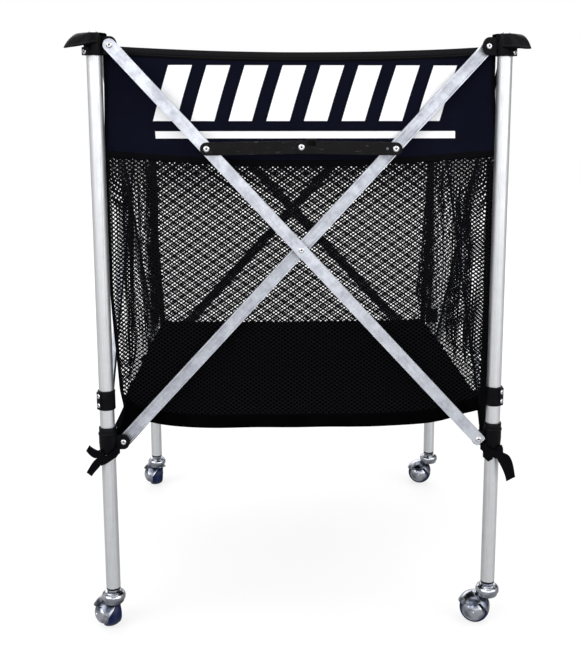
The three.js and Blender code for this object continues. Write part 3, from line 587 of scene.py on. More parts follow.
def corner_place(k):
    return about(90 * k, -POST_SPACING / 2 * MM, -POST_SPACING / 2 * MM)


def side_place(k, x=0, z=0):
    return about(90 * k, x * MM, -POST_SPACING / 2 * MM, z * MM)


FACING_Y = Matrix.Rotation(-math.pi / 2, 4, "X")


def along_y(x, y, z, facing=1):
    """Place that stands a turned shape on a face, pointing along Y or against it."""
    tilt = Matrix.Rotation(-math.pi / 2 * facing, 4, "X")
    return Matrix.Translation((x, y, z)) @ tilt


def object_of(name, form, materials):
    mesh = bpy.data.meshes.new(name)
    mesh.from_pydata([p * MM for p in form.points], [], form.faces)
    mesh.polygons.foreach_set("material_index", form.shades)
    for material in materials:
        mesh.materials.append(finish(material))
    if form.cloth:
        layer = mesh.uv_layers.new(name="cloth")
        for loop in mesh.loops:
            layer.data[loop.index].uv = form.cloth[loop.vertex_index]
    made = bpy.data.objects.new(name, mesh)
    bpy.context.scene.collection.objects.link(made)
    return made


def carved(form, tool):
    """The form with the tool's shapes cut out of it."""
    body, cutter = object_of("carve_body", form, []), object_of("carve_tool", tool, [])
    cut = body.modifiers.new("cut", "BOOLEAN")
    cut.operation, cut.solver, cut.object = "DIFFERENCE", "EXACT", cutter
    graph = bpy.context.evaluated_depsgraph_get()
    mesh = bpy.data.meshes.new_from_object(body.evaluated_get(graph))
    result = Form()
    result.add(([v.co / MM for v in mesh.vertices], [list(p.vertices) for p in mesh.polygons]))
    for made in (body, cutter):
        bpy.data.objects.remove(made)
    return result


def piece(name, form, materials, body, replaces=(), place=None, edge=0.0, sheet=False):
    """Make one piece of the cart, let it ride its body and stand for its CAD nodes."""
    made = object_of(name, form, materials)
    mesh = made.data
    if not sheet:
        edit = bmesh.new()
        edit.from_mesh(mesh)
        bmesh.ops.recalc_face_normals(edit, faces=edit.faces)
        edit.to_mesh(mesh)
        edit.free()
    mesh.shade_smooth()
    if edge:
        bevel = made.modifiers.new("edges", "BEVEL")
        bevel.width, bevel.segments = edge * MM, 2
        bevel.limit_method, bevel.angle_limit = "ANGLE", math.radians(38)
        bevel.harden_normals = True
    elif not sheet:
        mesh.set_sharp_from_angle(angle=math.radians(38))
    made.matrix_world = place or Matrix()
    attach(made, body)
    if replaces:
        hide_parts(*replaces)
    return made


def thicken(made, thick):
    """Give a sheet its thickness; a second finish goes on its inner face."""
    solidify = made.modifiers.new("thickness", "SOLIDIFY")
    solidify.thickness, solidify.offset = thick * MM, -1
    solidify.material_offset = len(made.data.materials) - 1


def rivet_head(radius=4.5, crown=1.5):
    """A set blind rivet's head: a low dome with the broken stem in its middle."""
    core = radius * 0.34
    dome = [(0, -0.4), (radius, -0.4), (radius, crown * 0.25), (radius * 0.93, crown * 0.55)]
    dome += [(radius * 0.72, crown * 0.93), (core + 0.5, crown), (core, crown * 0.8), (core, crown * 0.3)]
    return turned(dome + [(0, crown * 0.3)], 32)


def add_rivet(form, place, radius=4.5, crown=1.5):
    form.add(rivet_head(radius, crown), place)
    core = radius * 0.34
    form.add(turned([(0, 0), (core, 0), (core * 0.8, crown * 0.55), (0, crown * 0.7)], 20), place, 1)


RIVETED = [bright_rivet_aluminium, dark_rivet_core]


def rivet_piece(name, form, body, place):
    piece(name, form, RIVETED, body, place=place)


def nylon_piece(kind, node, name, form, body, place, edge):
    piece(f"{kind}_{name}", form, [moulded_black_nylon], body, [f"{node}_{name}"], place, edge=edge)


def post_tube(k):
    """Drawn tube with its keyway, open at both ends."""
    name = CORNERS[k]
    turn = math.radians(180 - KEYWAY_TURN if k % 2 else KEYWAY_TURN - 90)
    half = math.asin(KEYWAY_WIDTH / 2 / TUBE_RADIUS)
    steps = 60
    ring = []
    for i in range(steps + 1):
        angle = turn + half + (2 * math.pi - 2 * half) * i / steps
        ring.append((TUBE_RADIUS * math.cos(angle), TUBE_RADIUS * math.sin(angle)))
    deep = TUBE_RADIUS - KEYWAY_DEPTH
    for angle in (turn - half * 0.9, turn + half * 0.9):
        ring.append((deep * math.cos(angle), deep * math.sin(angle)))
    n = len(ring)
    inner = []
    for x, y in ring:
        angle = math.atan2(y, x)
        inner.append((TUBE_BORE * math.cos(angle), TUBE_BORE * math.sin(angle)))
    points = [(x, y, z) for z in (TUBE_BOTTOM, TUBE_TOP) for x, y in ring + inner]
    faces = []
    for i in range(n):
        j = (i + 1) % n
        low, high = 0, 2 * n
        faces += [
            [low + i, low + j, high + j, high + i],
            [low + n + j, low + n + i, high + n + i, high + n + j],
            [low + j, low + i, low + n + i, low + n + j],
            [high + i, high + j, high + n + j, high + n + i],
        ]
    form = Form().add((points, faces))
    piece(
        f"tube_{name}", form, [drawn_anodised_aluminium], f"post_{name}", [f"post_{name}"],
        corner_place(k), edge=0.25,
    )


def ear_plate(direction, z, rise):
    x, root = direction * PIVOT_INSET, direction * (BORE + 0.8)
    ends = (-90, 90) if direction > 0 else (270, 90)
    outline = [(root, z - rise)] + arc(x, z, EAR_REACH, *ends, steps=28, rise=rise) + [(root, z + rise)]
    return slab(outline, -EAR_HALF, EAR_HALF)


def add_ears(form, arm_side, z, rise):
    """Two ears at right angles, each with a boss that spaces its arm and a raised ring round the rivet."""
    for direction, side, turn in ((1, arm_side, 0), (-1, -arm_side, -90)):
        x = direction * PIVOT_INSET
        form.add(ear_plate(direction, z, rise), about(turn))
        boss = rod(5, 0, ARM_FAR - ARM_WEB - GAP - EAR_HALF + 1, 32)
        form.add(boss, about(turn) @ along_y(x, side * (EAR_HALF - 1), z, side))
        ring = turned([(5.2, 0), (6.6, 0), (6.5, 0.6), (5.4, 0.6)], 40)
        form.add(ring, about(turn) @ along_y(x, -side * (EAR_HALF - 0.1), z, -side))


def add_ear_rivets(form, arm_side, z):
    for direction, side, turn in ((1, arm_side, 0), (-1, -arm_side, -90)):
        x = direction * PIVOT_INSET
        add_rivet(form, about(turn) @ along_y(x, side * (ARM_FAR + 0.4), z, side))
        add_rivet(form, about(turn) @ along_y(x, -side * EAR_HALF, z, -side))


def corner_bracket(k):
    name = CORNERS[k]
    form = Form()
    form.add(turned([
        (BORE, BRACKET_BOTTOM), (COLLAR - 0.7, BRACKET_BOTTOM), (COLLAR - 0.15, BRACKET_BOTTOM + 0.4),
        (COLLAR, BRACKET_BOTTOM + 1.2), (COLLAR, BRACKET_TOP - 2), (COLLAR - 0.4, BRACKET_TOP - 0.8),
        (COLLAR - 1.6, BRACKET_TOP), (2.9, BRACKET_TOP), (2.9, 956.3), (BORE, 956.3),
    ], 64))
    form.add(block((-6.5, BORE + 0.5, BRACKET_BOTTOM), (6.5, BRACKET_PAD, 942)), about(135))
    for turn in (92, 107, 166, 178, 200, 222, 244):
        rib = block((-0.9, BORE + 1, BRACKET_BOTTOM + 0.5), (0.9, COLLAR + 0.7, BRACKET_TOP - 3))
        form.add(rib, about(turn))
    add_ears(form, -1, TOP_PIVOT_Z, BRACKET_EAR_RISE)
    place = corner_place(k)
    nylon_piece("bracket_moulding", "bracket", name, form, f"post_{name}", place, 0.5)
    rivets = Form()
    add_ear_rivets(rivets, -1, TOP_PIVOT_Z)
    add_rivet(rivets, about(135) @ along_y(0, BRACKET_PAD, BRACKET_RIVET_Z), 4.2)
    rivet_piece(f"bracket_rivets_{name}", rivets, f"post_{name}", place)


def stop_band(k):
    name = CORNERS[k]
    form = Form()
    low, high, radius = STOP_BOTTOM, STOP_TOP, STOP_RADIUS
    form.add(turned([
        (BORE, low), (radius - 0.9, low), (radius - 0.2, low + 0.5), (radius, low + 1.4),
        (radius - 0.25, low + 5), (radius - 0.25, high - 5), (radius, high - 1.4),
        (radius - 0.2, high - 0.5), (radius - 0.9, high), (BORE, high),
    ], 64))
    form.add(block((-5, BORE + 0.5, low + 1), (5, STOP_PAD, high - 1)), about(135))
    place = corner_place(k)
    nylon_piece("stop_moulding", "stop_band", name, form, f"post_{name}", place, 0.6)
    rivets = Form()
    for z in STOP_RIVETS:
        add_rivet(rivets, about(135) @ along_y(0, STOP_PAD, z), 3.9, 1.4)
    rivet_piece(f"stop_rivets_{name}", rivets, f"post_{name}", place)


def post_slider(k):
    name = CORNERS[k]
    form = Form()
    form.add(turned([
        (BORE, SLIDER_BOTTOM), (COLLAR - 1.6, SLIDER_BOTTOM), (COLLAR - 1.1, SLIDER_BOTTOM + 0.8),
        (COLLAR, SLIDER_WAIST), (COLLAR, SLIDER_BEAD - 0.4), (COLLAR + 0.7, SLIDER_BEAD + 0.4),
        (COLLAR + 0.8, SLIDER_BEAD + 2), (COLLAR + 0.4, SLIDER_BEAD + 3.2),
        (COLLAR - 0.5, SLIDER_BEAD + 3.8), (COLLAR - 0.5, SLIDER_RIM - 1), (COLLAR - 1, SLIDER_RIM - 0.2),
        (COLLAR - 1.4, SLIDER_RIM), (BORE + 1, SLIDER_RIM), (BORE, SLIDER_RIM - 1.2),
    ], 64))
    add_ears(form, 1, LOW_PIVOT_Z, SLIDER_EAR_RISE)
    place = corner_place(k)
    nylon_piece("slider_moulding", "slider", name, form, f"slider_{name}", place, 0.5)
    rivets = Form()
    add_ear_rivets(rivets, 1, LOW_PIVOT_Z)
    rivet_piece(f"slider_rivets_{name}", rivets, f"slider_{name}", place)


def smooth(value, low, high):
    t = min(max((value - low) / (high - low), 0), 1)
    return t * t * (3 - 2 * t)


def mix(a, b, t):
    return a + (b - a) * t


FLAP_HOLE, FLAP_FLAT, FLAP_Z = 3, 12, 963
FLAP_SIDE, FLAP_TIP, FLAP_TONGUE, FLAP_EDGE = 17.6, 50, 22.5, 942
# The soft flaps differ a little: reach of the beak, and rise of the edge beside it
FLAP_REACH, FLAP_CURL = (50, 43, 47, 45), (6, 0, 3, 2)


def flap_edge(k, turn):
    away = abs(turn)
    point = max(0, math.cos(turn)) ** 4
    beak = (FLAP_REACH[k] - FLAP_SIDE) * point
    tongue = (FLAP_TONGUE - FLAP_SIDE) * max(0, -math.cos(turn)) ** 8
    lift = smooth(away, math.radians(70), math.radians(88))
    lift -= smooth(away, math.radians(154), math.radians(172))
    tongue_lift = 6 * (1 - lift) if away > math.pi / 2 else 0
    edge = FLAP_EDGE + FLAP_CURL[k] * (1 - point) * (1 - smooth(away, 1.6, 2)) - 2 * point
    return FLAP_SIDE + beak + tongue, mix(edge, FLAP_Z - 1.2, lift) + tongue_lift


def flap_profile(k, turn, along):
    """Radius and height of the flap along one spoke, from the screw's hole to the edge."""
    edge, edge_z = flap_edge(k, turn)
    beak = smooth(edge, FLAP_TONGUE, FLAP_TIP)
    if along < 0.25:
        return Vector((mix(FLAP_HOLE, FLAP_FLAT, along / 0.25), FLAP_Z))
    t = (along - 0.25) / 0.75
    a = Vector((FLAP_FLAT, FLAP_Z))
    b = Vector((mix(1, 0.52, beak) * edge - 0.1, FLAP_Z))
    c = Vector((mix(1, 0.8, beak) * edge, FLAP_Z - 5 * beak))
    d = Vector((edge, edge_z))
    return a * (1 - t) ** 3 + b * 3 * t * (1 - t) ** 2 + c * 3 * t * t * (1 - t) + d * t**3


def corner_flap(k):
    """Leatherette cap over the corner, with its stitched edge and the beak that hangs out past the post."""
    name = CORNERS[k]
    around, along = 108, 26
    points, cloth = [], []
    edge_run, last = 0.0, None
    for i in range(around):
        turn = -math.pi + 2 * math.pi * i / around
        heading = math.radians(225) + turn
        spoke = [flap_profile(k, turn, j / along) for j in range(along + 1)]
        to_edge = [0.0]
        for j in range(along, 0, -1):
            to_edge.append(to_edge[-1] + (spoke[j] - spoke[j - 1]).length)
        to_edge.reverse()
        rim = Vector((spoke[-1].x * math.cos(heading), spoke[-1].x * math.sin(heading), spoke[-1].y))
        edge_run += (rim - last).length if last else 0
        last = rim
        for j, at in enumerate(spoke):
            crease = 0.25 * math.sin(9 * turn) * smooth(j / along, 0.3, 1)
            points.append((at.x * math.cos(heading), at.x * math.sin(heading), at.y + crease))
            cloth.append((edge_run * MM, to_edge[j] * MM))
    row = along + 1
    faces = [
        [i * row + j, i * row + j + 1, (i + 1) % around * row + j + 1, (i + 1) % around * row + j]
        for i in range(around) for j in range(along)
    ]
    form = cloth_form((points, faces), cloth)
    made = piece(
        f"leatherette_flap_{name}", form, [stitched_leatherette], f"post_{name}",
        [f"flap_{name}"], corner_place(k), sheet=True,
    )
    thicken(made, 1.6)
    screw = Form()
    shank = [(0, 948), (2.6, 948), (2.6, 963.4), (7, 963.4), (7.2, 963.9), (7, 964.6), (0, 964.6)]
    screw.add(turned(shank, 40))
    dome = [(0, 964), (4.8, 964), (4.8, 965), (4.3, 966.1), (2.9, 966.8), (2.4, 967), (2.2, 966), (0, 966)]
    screw.add(turned(dome, 32))
    piece(
        f"flap_screw_{name}", screw, [bright_rivet_aluminium], f"post_{name}",
        [f"cap_screw_{name}"], corner_place(k),
    )


# Way in which each corner's tapes turn their flat side
FACING = ((0, -1, 0), (-1, 0, 0), (0, -1, 0), (-1, 0, 0))
# Straps, and the ties' sashes and tails: start, control and end point from the post's axis, then the width
STRAPS = (
    (((27, 25, 376), (21, 20, 362), (12, 13, 345), 9),),
    (
        ((22, 21, 378), (16, 19, 362), (14, 17, 343), 4.5),
        ((20, 13.5, 378), (15, 12.5, 362), (13.5, 12, 343), 4.5),
    ),
    (((26, 26, 382), (21, 21, 352), (11, 11, 305), 9),),
    (((26, 26, 382), (21, 21, 352), (11, 11, 305), 9),),
)
SASHES = (
    ((19, -5, 315), (4, -20, 303), (-10, -14, 297)), ((-5, 20, 314), (-19, 6, 303), (-14, -8, 300)),
    ((19, -5, 315), (4, -20, 303), (-10, -14, 297)), ((-5, 20, 314), (-19, 6, 303), (-14, -8, 300)),
)
TAILS = (
    (
        ((-7, -12, 307), (-20, -15, 308), (-30, -15, 321), 14),
        ((-7, -13, 304), (-17, -15, 296), (-29, -18, 278), 13),
    ),
    (
        ((-15, -6, 303), (-18, -21, 298), (-20, -28, 261), 20),
        ((-12, -8, 304), (-14, -20, 298), (-17, -23, 274), 11),
        ((-14, 13, 306), (-15, 10, 298), (-16, 5, 292), 12),
    ),
    (
        ((-8, -12, 307), (-24, -17, 306), (-31, -24, 318), 10),
        ((-12, -11, 304), (-22, -18, 294), (-28, -26, 276), 11),
    ),
    (
        ((-14, -7, 304), (-20, -22, 302), (-24, -28, 276), 11),
        ((-10, -12, 307), (-17, -24, 304), (-24, -32, 288), 10),
    ),
)


def post_tie(k):
    """Tape wound round the post under the slider and knotted outside, with its free ends."""
    name = CORNERS[k]
    facing = Vector(FACING[k])
    form = Form()
    wraps, steps = 2.15, 96
    coil = []
    for i in range(steps + 1):
        t = i / steps
        angle = math.radians(225) + 2 * math.pi * wraps * t
        radius = 13.2 + 0.5 * t
        tilt = 4.4 * (-math.sin(angle) if k % 2 else math.cos(angle))
        coil.append((radius * math.cos(angle), radius * math.sin(angle), 302 + 1.4 * math.sin(5 * t) + tilt))
    form.add(ribbon(coil, 10, 1.0, (0, 0, 1)))
    out = Vector((-1, -1, 0)).normalized()
    across = Vector((1, -1, 0)).normalized()
    for lift, reach, wide, thick in ((305, 19.5, 13, 2.6), (309, 18, 10, 2.2)):
        start, end = (out * 13.5 + across * side + Vector((0, 0, lift)) for side in (6.5, -6.5))
        loop = bezier(start, out * (2 * reach - 13.5) + Vector((0, 0, lift)), end, 16)
        form.add(ribbon(loop, wide, thick, (0.12, 0.05, 1)))
    sash = [Vector(p) for p in SASHES[k]]
    form.add(ribbon(bezier(*sash, 16), 13, 1.2, (0, 0, 1)))
    for *ends, wide in TAILS[k]:
        start, control, end = (Vector(p) for p in ends)
        path = bezier(start, control, end, 20)
        widths = [
            wide * mix(0.6, 1, smooth(i / 20, 0, 0.4)) * mix(1, 0.8, smooth(i / 20, 0.5, 1))
            for i in range(21)
        ]
        form.add(ribbon(path, widths, 1.0, (end - start).cross(facing)))
    form.cloth = [((p.x + p.y) * MM, p.z * MM) for p in form.points]
    piece(
        f"tie_tape_{name}", form, [woven_tape], f"slider_{name}", [f"tie_{name}"],
        corner_place(k), edge=0.25,
    )


def channel(side):
    """Aluminium channel along X about its crossing rivet, with its open side towards the ears.

    Its hollow and the faces towards the bag have their own finishes."""
    end = ARM_LENGTH
    tip = end + ARM_REACH
    outline = arc(tip - ARM_CORNER, -ARM_HALF + ARM_CORNER, ARM_CORNER, -90, 0, 8)
    outline += arc(tip - ARM_CORNER, ARM_HALF - ARM_CORNER, ARM_CORNER, 0, 90, 8)
    outline += arc(-end, 0, ARM_HALF, 90, 270, 24)
    low, high = sorted((side * ARM_NEAR, side * ARM_FAR))
    body = Form().add(slab(outline, low, high))
    inside = ARM_HALF - ARM_WEB
    near, far = sorted((side * (ARM_FAR - ARM_WEB), side * (ARM_NEAR - 1)))
    tool = Form().add(block((-2 * end, near, -inside), (2 * end, far, inside)))
    form = carved(body, tool)
    for i, face in enumerate(form.faces):
        middle = sum((form.points[v] for v in face), Vector()) / len(face)
        # Hollows and faces towards the bag take the finishes with painted shade
        hollow = abs(middle.z) < inside + 0.1 and ARM_NEAR + 0.1 < side * middle.y < ARM_FAR - ARM_WEB + 0.1
        if hollow:
            form.shades[i] = 1 if side > 0 else 2
        elif middle.y > ARM_FAR - 0.1:
            form.shades[i] = 2
    return form


# The plain finish, then painted shade for the inner arm's hollow, then painted shade for the faces towards
# the bag
CHANNEL_FINISHES = [mill_finish_channel, channel_hollow_painted_shade, bag_side_channel_painted_shade]


def scissor_arms():
    channels = {side: channel(side) for side in (-1, 1)}
    for k, name in enumerate(SIDES):
        for kind, side in (("outer", -1), ("inner", 1)):
            place = side_place(k, z=CROSSING_Z) @ Matrix.Rotation(math.pi / 2 + side * ARM_LEAN, 4, "Y")
            body = f"arm_{kind}_{name}"
            form = channels[side]
            piece(f"channel_{kind}_{name}", form, CHANNEL_FINISHES, body, [body], place, 0.7)
            if kind == "inner":
                continue
            rivets = Form()
            add_rivet(rivets, along_y(0, ARM_FAR + GAP, 0))
            add_rivet(rivets, along_y(0, -ARM_FAR, 0, -1))
            rivets.add(rod(2.5, 0, 2 * ARM_FAR - ARM_WEB, 24), along_y(0, -ARM_FAR + 1, 0), 1)
            if name == "front":
                outer_face = -(LINK_NEAR + LINK_THICK + GAP)
                add_rivet(rivets, along_y(-LINK_FROM_CENTRE, outer_face, 0, -1), 4.8)
                stud = rod(3, 0, -outer_face - ARM_FAR + 1, 24)
                rivets.add(stud, along_y(-LINK_FROM_CENTRE, outer_face, 0))
            rivet_piece(f"crossing_rivets_{name}", rivets, body, place)


def link_piece(side, form, place):
    body = f"lock_link_{side}"
    piece(f"lock_bar_{side}", form, [blackened_steel], body, [body], place, 0.35)


def lock_links():
    """Two flat bars that meet at the toggle pivot over the crossing, and the thumb tab on the right one."""
    face = -LINK_NEAR
    outline = arc(LINK_LENGTH, 0, LINK_HALF, -90, 90, 28) + arc(0, 0, LINK_HALF, 90, 270, 28)
    left = Form().add(slab(outline, face - LINK_THICK, face))
    left_place = side_place(0, -LOCK_REACH, LOCK_Z) @ Matrix.Rotation(-LINK_TILT, 4, "Y")
    link_piece("left", left, left_place)
    front = face - LINK_THICK - GAP
    rivets = Form()
    seat = front - LINK_THICK - GAP
    add_rivet(rivets, along_y(LINK_LENGTH, seat, 0, -1), 4.8)
    rivets.add(rod(3, 0, 5.4, 24), along_y(LINK_LENGTH, seat - 0.1, 0))
    rivet_piece("toggle_rivet", rivets, "lock_link_left", left_place)
    body = Form().add(slab(outline, front - LINK_THICK, front))
    hole_x = LINK_LENGTH - 10.6 - 2.5
    body = carved(body, Form().add(rod(2, 0, 6, 24), along_y(hole_x, front - 4, 0)))
    top = LINK_HALF + 3.4
    body.add(block((8, front - LINK_THICK, 2), (21.5, front, top)))
    body.add(block((8, front - LINK_THICK - 5, top - 1.6), (21.5, front, top)))
    right_place = side_place(0, 0, LOCK_Z + LINK_RISE) @ Matrix.Rotation(LINK_TILT, 4, "Y")
    link_piece("right", body, right_place)
    end = Form()
    add_rivet(end, along_y(LINK_LENGTH, front - LINK_THICK, 0, -1), 4.8)
    rivet_piece("lock_end_rivet", end, "lock_link_right", right_place)


def hood_edge(turn):
    """Height of the hood's lower edge in a direction round the ball, in degrees from the leading side."""
    away = abs((turn - SKIRT_TURN + 180) % 360 - 180)
    x = 24 * math.cos(math.radians(turn))
    plane = HOOD_CUT + HOOD_SLOPE * x
    return min(plane, SKIRT_TIP + 23 * (away / SKIRT_SPREAD) ** 0.85)


def hood_shell():
    around, along = 120, 22

    def at(s, t):
        turn = 360 * s
        low = hood_edge(turn)
        polar = math.acos(max(-1, min(1, (low - WHEEL_RADIUS) / HOOD_OUTER))) * t
        flare = 0.5 * smooth(t, 0.93, 1)
        radius = HOOD_OUTER - 0.5 + flare
        heading = math.radians(turn)
        return (
            -WHEEL_TRAIL + radius * math.sin(polar) * math.cos(heading),
            radius * math.sin(polar) * math.sin(heading),
            WHEEL_RADIUS + radius * math.cos(polar),
        )

    points, faces = grid(around, along, at)
    return points, [face[::-1] for face in faces]


def caster(k):
    name = CORNERS[k]
    place = corner_place(k) @ about(CASTER_TURN[k] - 90 * k)
    hood = Form()
    hood.add(turned([
        (0, 56), (17.2, 56), (18.3, 56.4), (19, 57.5), (19.3, 60), (19.3, 62), (18.9, 64.2), (17.8, 66.2),
        (16.4, 67.6), (14.9, 68.4), (14.4, 69.4), (13.6, 70), (11.5, 70.3), (5.3, 70.3), (5.3, 60.2),
        (0, 60.2),
    ], 72))
    hood.add(turned([(0, 50.9), (15.8, 50.9), (16.8, 52.5), (17, 57), (0, 57)], 56))
    leg_outline = arc(-WHEEL_TRAIL, WHEEL_RADIUS, 8, 180, 360, 24)
    leg_outline += [(-WHEEL_TRAIL + 10, 44), (-WHEEL_TRAIL - 10, 44)]
    hood.add(slab(leg_outline, 14, 16.2))
    hood.add(block((-WHEEL_TRAIL - 10, 12.5, 42), (-WHEEL_TRAIL + 10, 16.2, 46.5)))
    axle = [(0, 0), (2, 0), (2, 30), (4, 30), (4, 31), (3, 31.7), (0, 31.9)]
    hood.add(turned(axle, 32), along_y(-WHEEL_TRAIL, -14, WHEEL_RADIUS))
    piece(
        f"swivel_housing_{name}", hood, [bright_plated_zinc], f"caster_{name}",
        [f"caster_hood_{name}"], place, edge=0.3,
    )
    shell = piece(
        f"pressed_hood_{name}", Form().add(hood_shell()), [bright_plated_zinc], f"caster_{name}",
        place=place, sheet=True,
    )
    thicken(shell, HOOD_THICK)
    wheel_place = place @ Matrix.Translation((-WHEEL_TRAIL * MM, 0, WHEEL_RADIUS * MM))
    tread = [(15, TYRE_BACK), (15.3, TYRE_BACK + 0.1)]
    for i in range(33):
        y = mix(TYRE_BACK - 0.3, 0.3 - SHOULDER, i / 32)
        tread.append((math.sqrt(WHEEL_RADIUS**2 - y * y) - (0.15 if i in (0, 32) else 0), y))
    seat = DOME_RIM + 0.3
    tread += [(21.4, -SHOULDER), (seat, -SHOULDER - 0.2), (seat, TYRE_FRONT), (15, TYRE_FRONT)]
    piece(
        f"tread_{name}", Form().add(turned(tread, 80), FACING_Y), [moulded_tread], f"wheel_{name}",
        [f"caster_tyre_{name}"], wheel_place,
    )
    rim = SHOULDER + 0.9
    back = TYRE_FRONT - GAP
    dome = [(2.3, -13), (2.3, 12), (14.5, 12.4), (14.7, 12), (14.7, back), (DOME_RIM - 0.1, back)]
    dome += [(DOME_RIM, -rim), (DOME_RIM - 0.3, -rim - 0.6), (DOME_RIM - 1.1, -rim - 0.7)]
    dome.append((DOME_RIM - 1.5, -rim - 0.2))
    for i in range(1, 25):
        angle = math.radians(mix(4, 84, i / 24))
        dome.append(((DOME_RIM - 1.5) * math.cos(angle), -rim - (DOME_TOP - rim) * math.sin(angle)))
    hub = Form().add(turned(dome + [(2.3, -DOME_TOP + 0.2)], 80), FACING_Y)
    hub.add(turned([(0, -22), (3.6, -22), (3.6, -24), (2.8, -24.9), (0, -25.2)], 32), FACING_Y)
    piece(
        f"dome_{name}", hub, [bright_plated_zinc], f"wheel_{name}", [f"caster_hub_{name}"],
        wheel_place,
    )
    stem = Form()
    stem.add(rod(5, 60.5, 76, 32))
    nut = [(10.8 * math.cos(math.radians(a)), 10.8 * math.sin(math.radians(a))) for a in range(0, 360, 60)]
    points, faces = slab(nut, 70.8, 74.2)
    stem.add(([(x, z, y) for x, y, z in points], [face[::-1] for face in faces]), material=1)
    plug = [(0, 74), (11.2, 74), (11.4, 74.6), (11.3, 76.6), (9.8, 76.7), (9.6, 108), (0, 108)]
    stem.add(turned(plug, 48))
    piece(
        f"stem_plug_{name}", stem, [moulded_black_nylon, bright_plated_zinc], f"post_{name}",
        [f"caster_stem_{name}"], corner_place(k), edge=0.3,
    )


def bag_half(z):
    return mix(BAG_HALF_LOW, BAG_HALF, smooth(z, BAG_FLOOR, BAG_TAPER))


def band_edge(u):
    """Height of the seam between band and net, which hangs lowest in the wall's middle."""
    return BAND_SEAM_Z + BAND_SEAM_RISE * u * u


def edge_sag(k, u):
    return BAG_EDGE_SAG[k] * (1 - abs(u) ** BAG_EDGE_BELLY[k])


def wall_bottom(k, u):
    return BAG_FLOOR - FLOOR_THICK - edge_sag(k, u)


def wall_top(u):
    return BAG_TOP - BAG_TOP_SAG * (1 - u * u)


def wall_dip(k, x, z):
    """How far the wall's cloth hangs in: gathers on the sides, slack folds elsewhere."""
    free = 1 - smooth(abs(x), 250, 290)
    slack = 1.3 + 1.1 * math.sin(x / 47 + k) * math.sin(z / 83 + 2 * k) + 0.9 * math.sin(x / 19 + z / 61)
    if k % 2 == 0:
        return max(0, slack * free)
    pitch = 2 * BAG_HALF / sizes().gather_count
    drift = 0.14 * (z - 560) * (1 if k == 3 else -1) + 8 * math.sin(z / 90 + k)
    wave = 0.5 - 0.5 * math.cos(2 * math.pi * (x + drift) / pitch + 0.9 * math.sin(x / 70 + k))
    uneven = 0.66 + 0.34 * math.sin(x / 57 + 2.1 * k + z / 210)
    depth = sizes().gather_depth / MM * uneven * smooth(z, 380, 470) * (1 - smooth(z, 690, 775))
    return max(0, depth * wave * (1 - smooth(abs(x), 255, 292)) + slack * free * 0.8)


def corner_pull(k, away, z):
    """How far the cloth is drawn out towards post k near its corner."""
    low = CORNER_DRAW[k % 4] * (1 if k % 4 else smooth(z, 370, 412))
    return mix(low, CORNER_DRAW_TOP, smooth(z, 780, 900)) * smooth(away, 258, 290)


def wall_point(k, s, z, out=0.0):
    """A point of wall k, from its left corner's diagonal at s = 0 to its right one's at s = 1."""
    half = bag_half(z) + out
    straight = half - BAG_CORNER
    quarter_turn = BAG_CORNER * math.pi / 4
    run = mix(-straight - quarter_turn, straight + quarter_turn, s)
    if abs(run) <= straight:
        x, y = run, -half + wall_dip(k, run, z)
    else:
        angle = (abs(run) - straight) / BAG_CORNER
        x = math.copysign(straight + BAG_CORNER * math.sin(angle), run)
        y = -straight - BAG_CORNER * math.cos(angle)
    pull = corner_pull(k if x < 0 else k + 1, abs(x), z)
    return Vector((x + math.copysign(pull * smooth(abs(x), 258, 284), x), y - pull, z))


def wall_sheet(k, across, along, low, high, out=0.0):
    """A sheet of wall k between two heights, with its cloth coordinates in metres along and up the cloth."""
    points, cloth = [], []
    for j in range(along + 1):
        row = []
        for i in range(across + 1):
            s = i / across
            z = mix(low(2 * s - 1), high(2 * s - 1), j / along)
            row.append(wall_point(k, s, z, out))
        run = [0.0]
        for a, b in zip(row, row[1:]):
            run.append(run[-1] + (b - a).length)
        points += row
        cloth += [((r - run[-1] / 2) * MM, p.z * MM) for r, p in zip(run, row)]
    return cloth_form((points, cells(across, along)), cloth)


def fold_wall(made):
    """Let a wall's piece crumple along itself towards its own corner as the cart folds."""
    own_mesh(made)


WALL_BODY = ("post_front_left", "post_front_right", "post_back_left", "post_front_left")


def bag_wall(k):
    """Woven band with its binding above, net below, and the floor cloth turned up round the bottom."""
    name = SIDES[k]
    body, place = WALL_BODY[k], about(90 * k)
    hem = sizes().hem_height / MM

    def lift(amount):
        return lambda u: wall_bottom(k, u) + amount

    binding_low = sizes().binding_height / MM
    band_form = wall_sheet(k, 96, 24, band_edge, lambda u: wall_top(u) - 1)
    band_finish = [printed_band_polyester, woven_band_polyester] if k == 0 else [woven_band_polyester]
    band = piece(
        f"band_{name}", band_form, band_finish, body, [f"bag_wall_{name}"], place, sheet=True
    )
    thicken(band, 0.8)
    hem_form = wall_sheet(k, 96, 4, lambda u: band_edge(u) - 1, lambda u: band_edge(u) + 9, 0.5)
    band_hem = piece(f"band_hem_{name}", hem_form, [woven_tape], body, place=place, sheet=True)
    thicken(band_hem, 0.5)
    net_form = wall_sheet(k, 240, 60, lift(hem - 4), lambda u: band_edge(u) + 5, -0.9)
    net = piece(f"net_{name}", net_form, [knitted_net], body, place=place, sheet=True)
    skirt_form = wall_sheet(k, 96, 5, lift(-0.5), lift(hem))
    skirt = piece(
        f"floor_hem_{name}", skirt_form, [coated_floor_cloth], body, place=place, sheet=True
    )
    thicken(skirt, 1.2)
    binding_form = wall_binding(k, binding_low)
    binding = piece(
        f"top_binding_{name}", binding_form, [stitched_leatherette], body,
        place=place, sheet=True,
    )
    thicken(binding, 0.6)
    for made in (band, band_hem, net, skirt, binding):
        fold_wall(made)


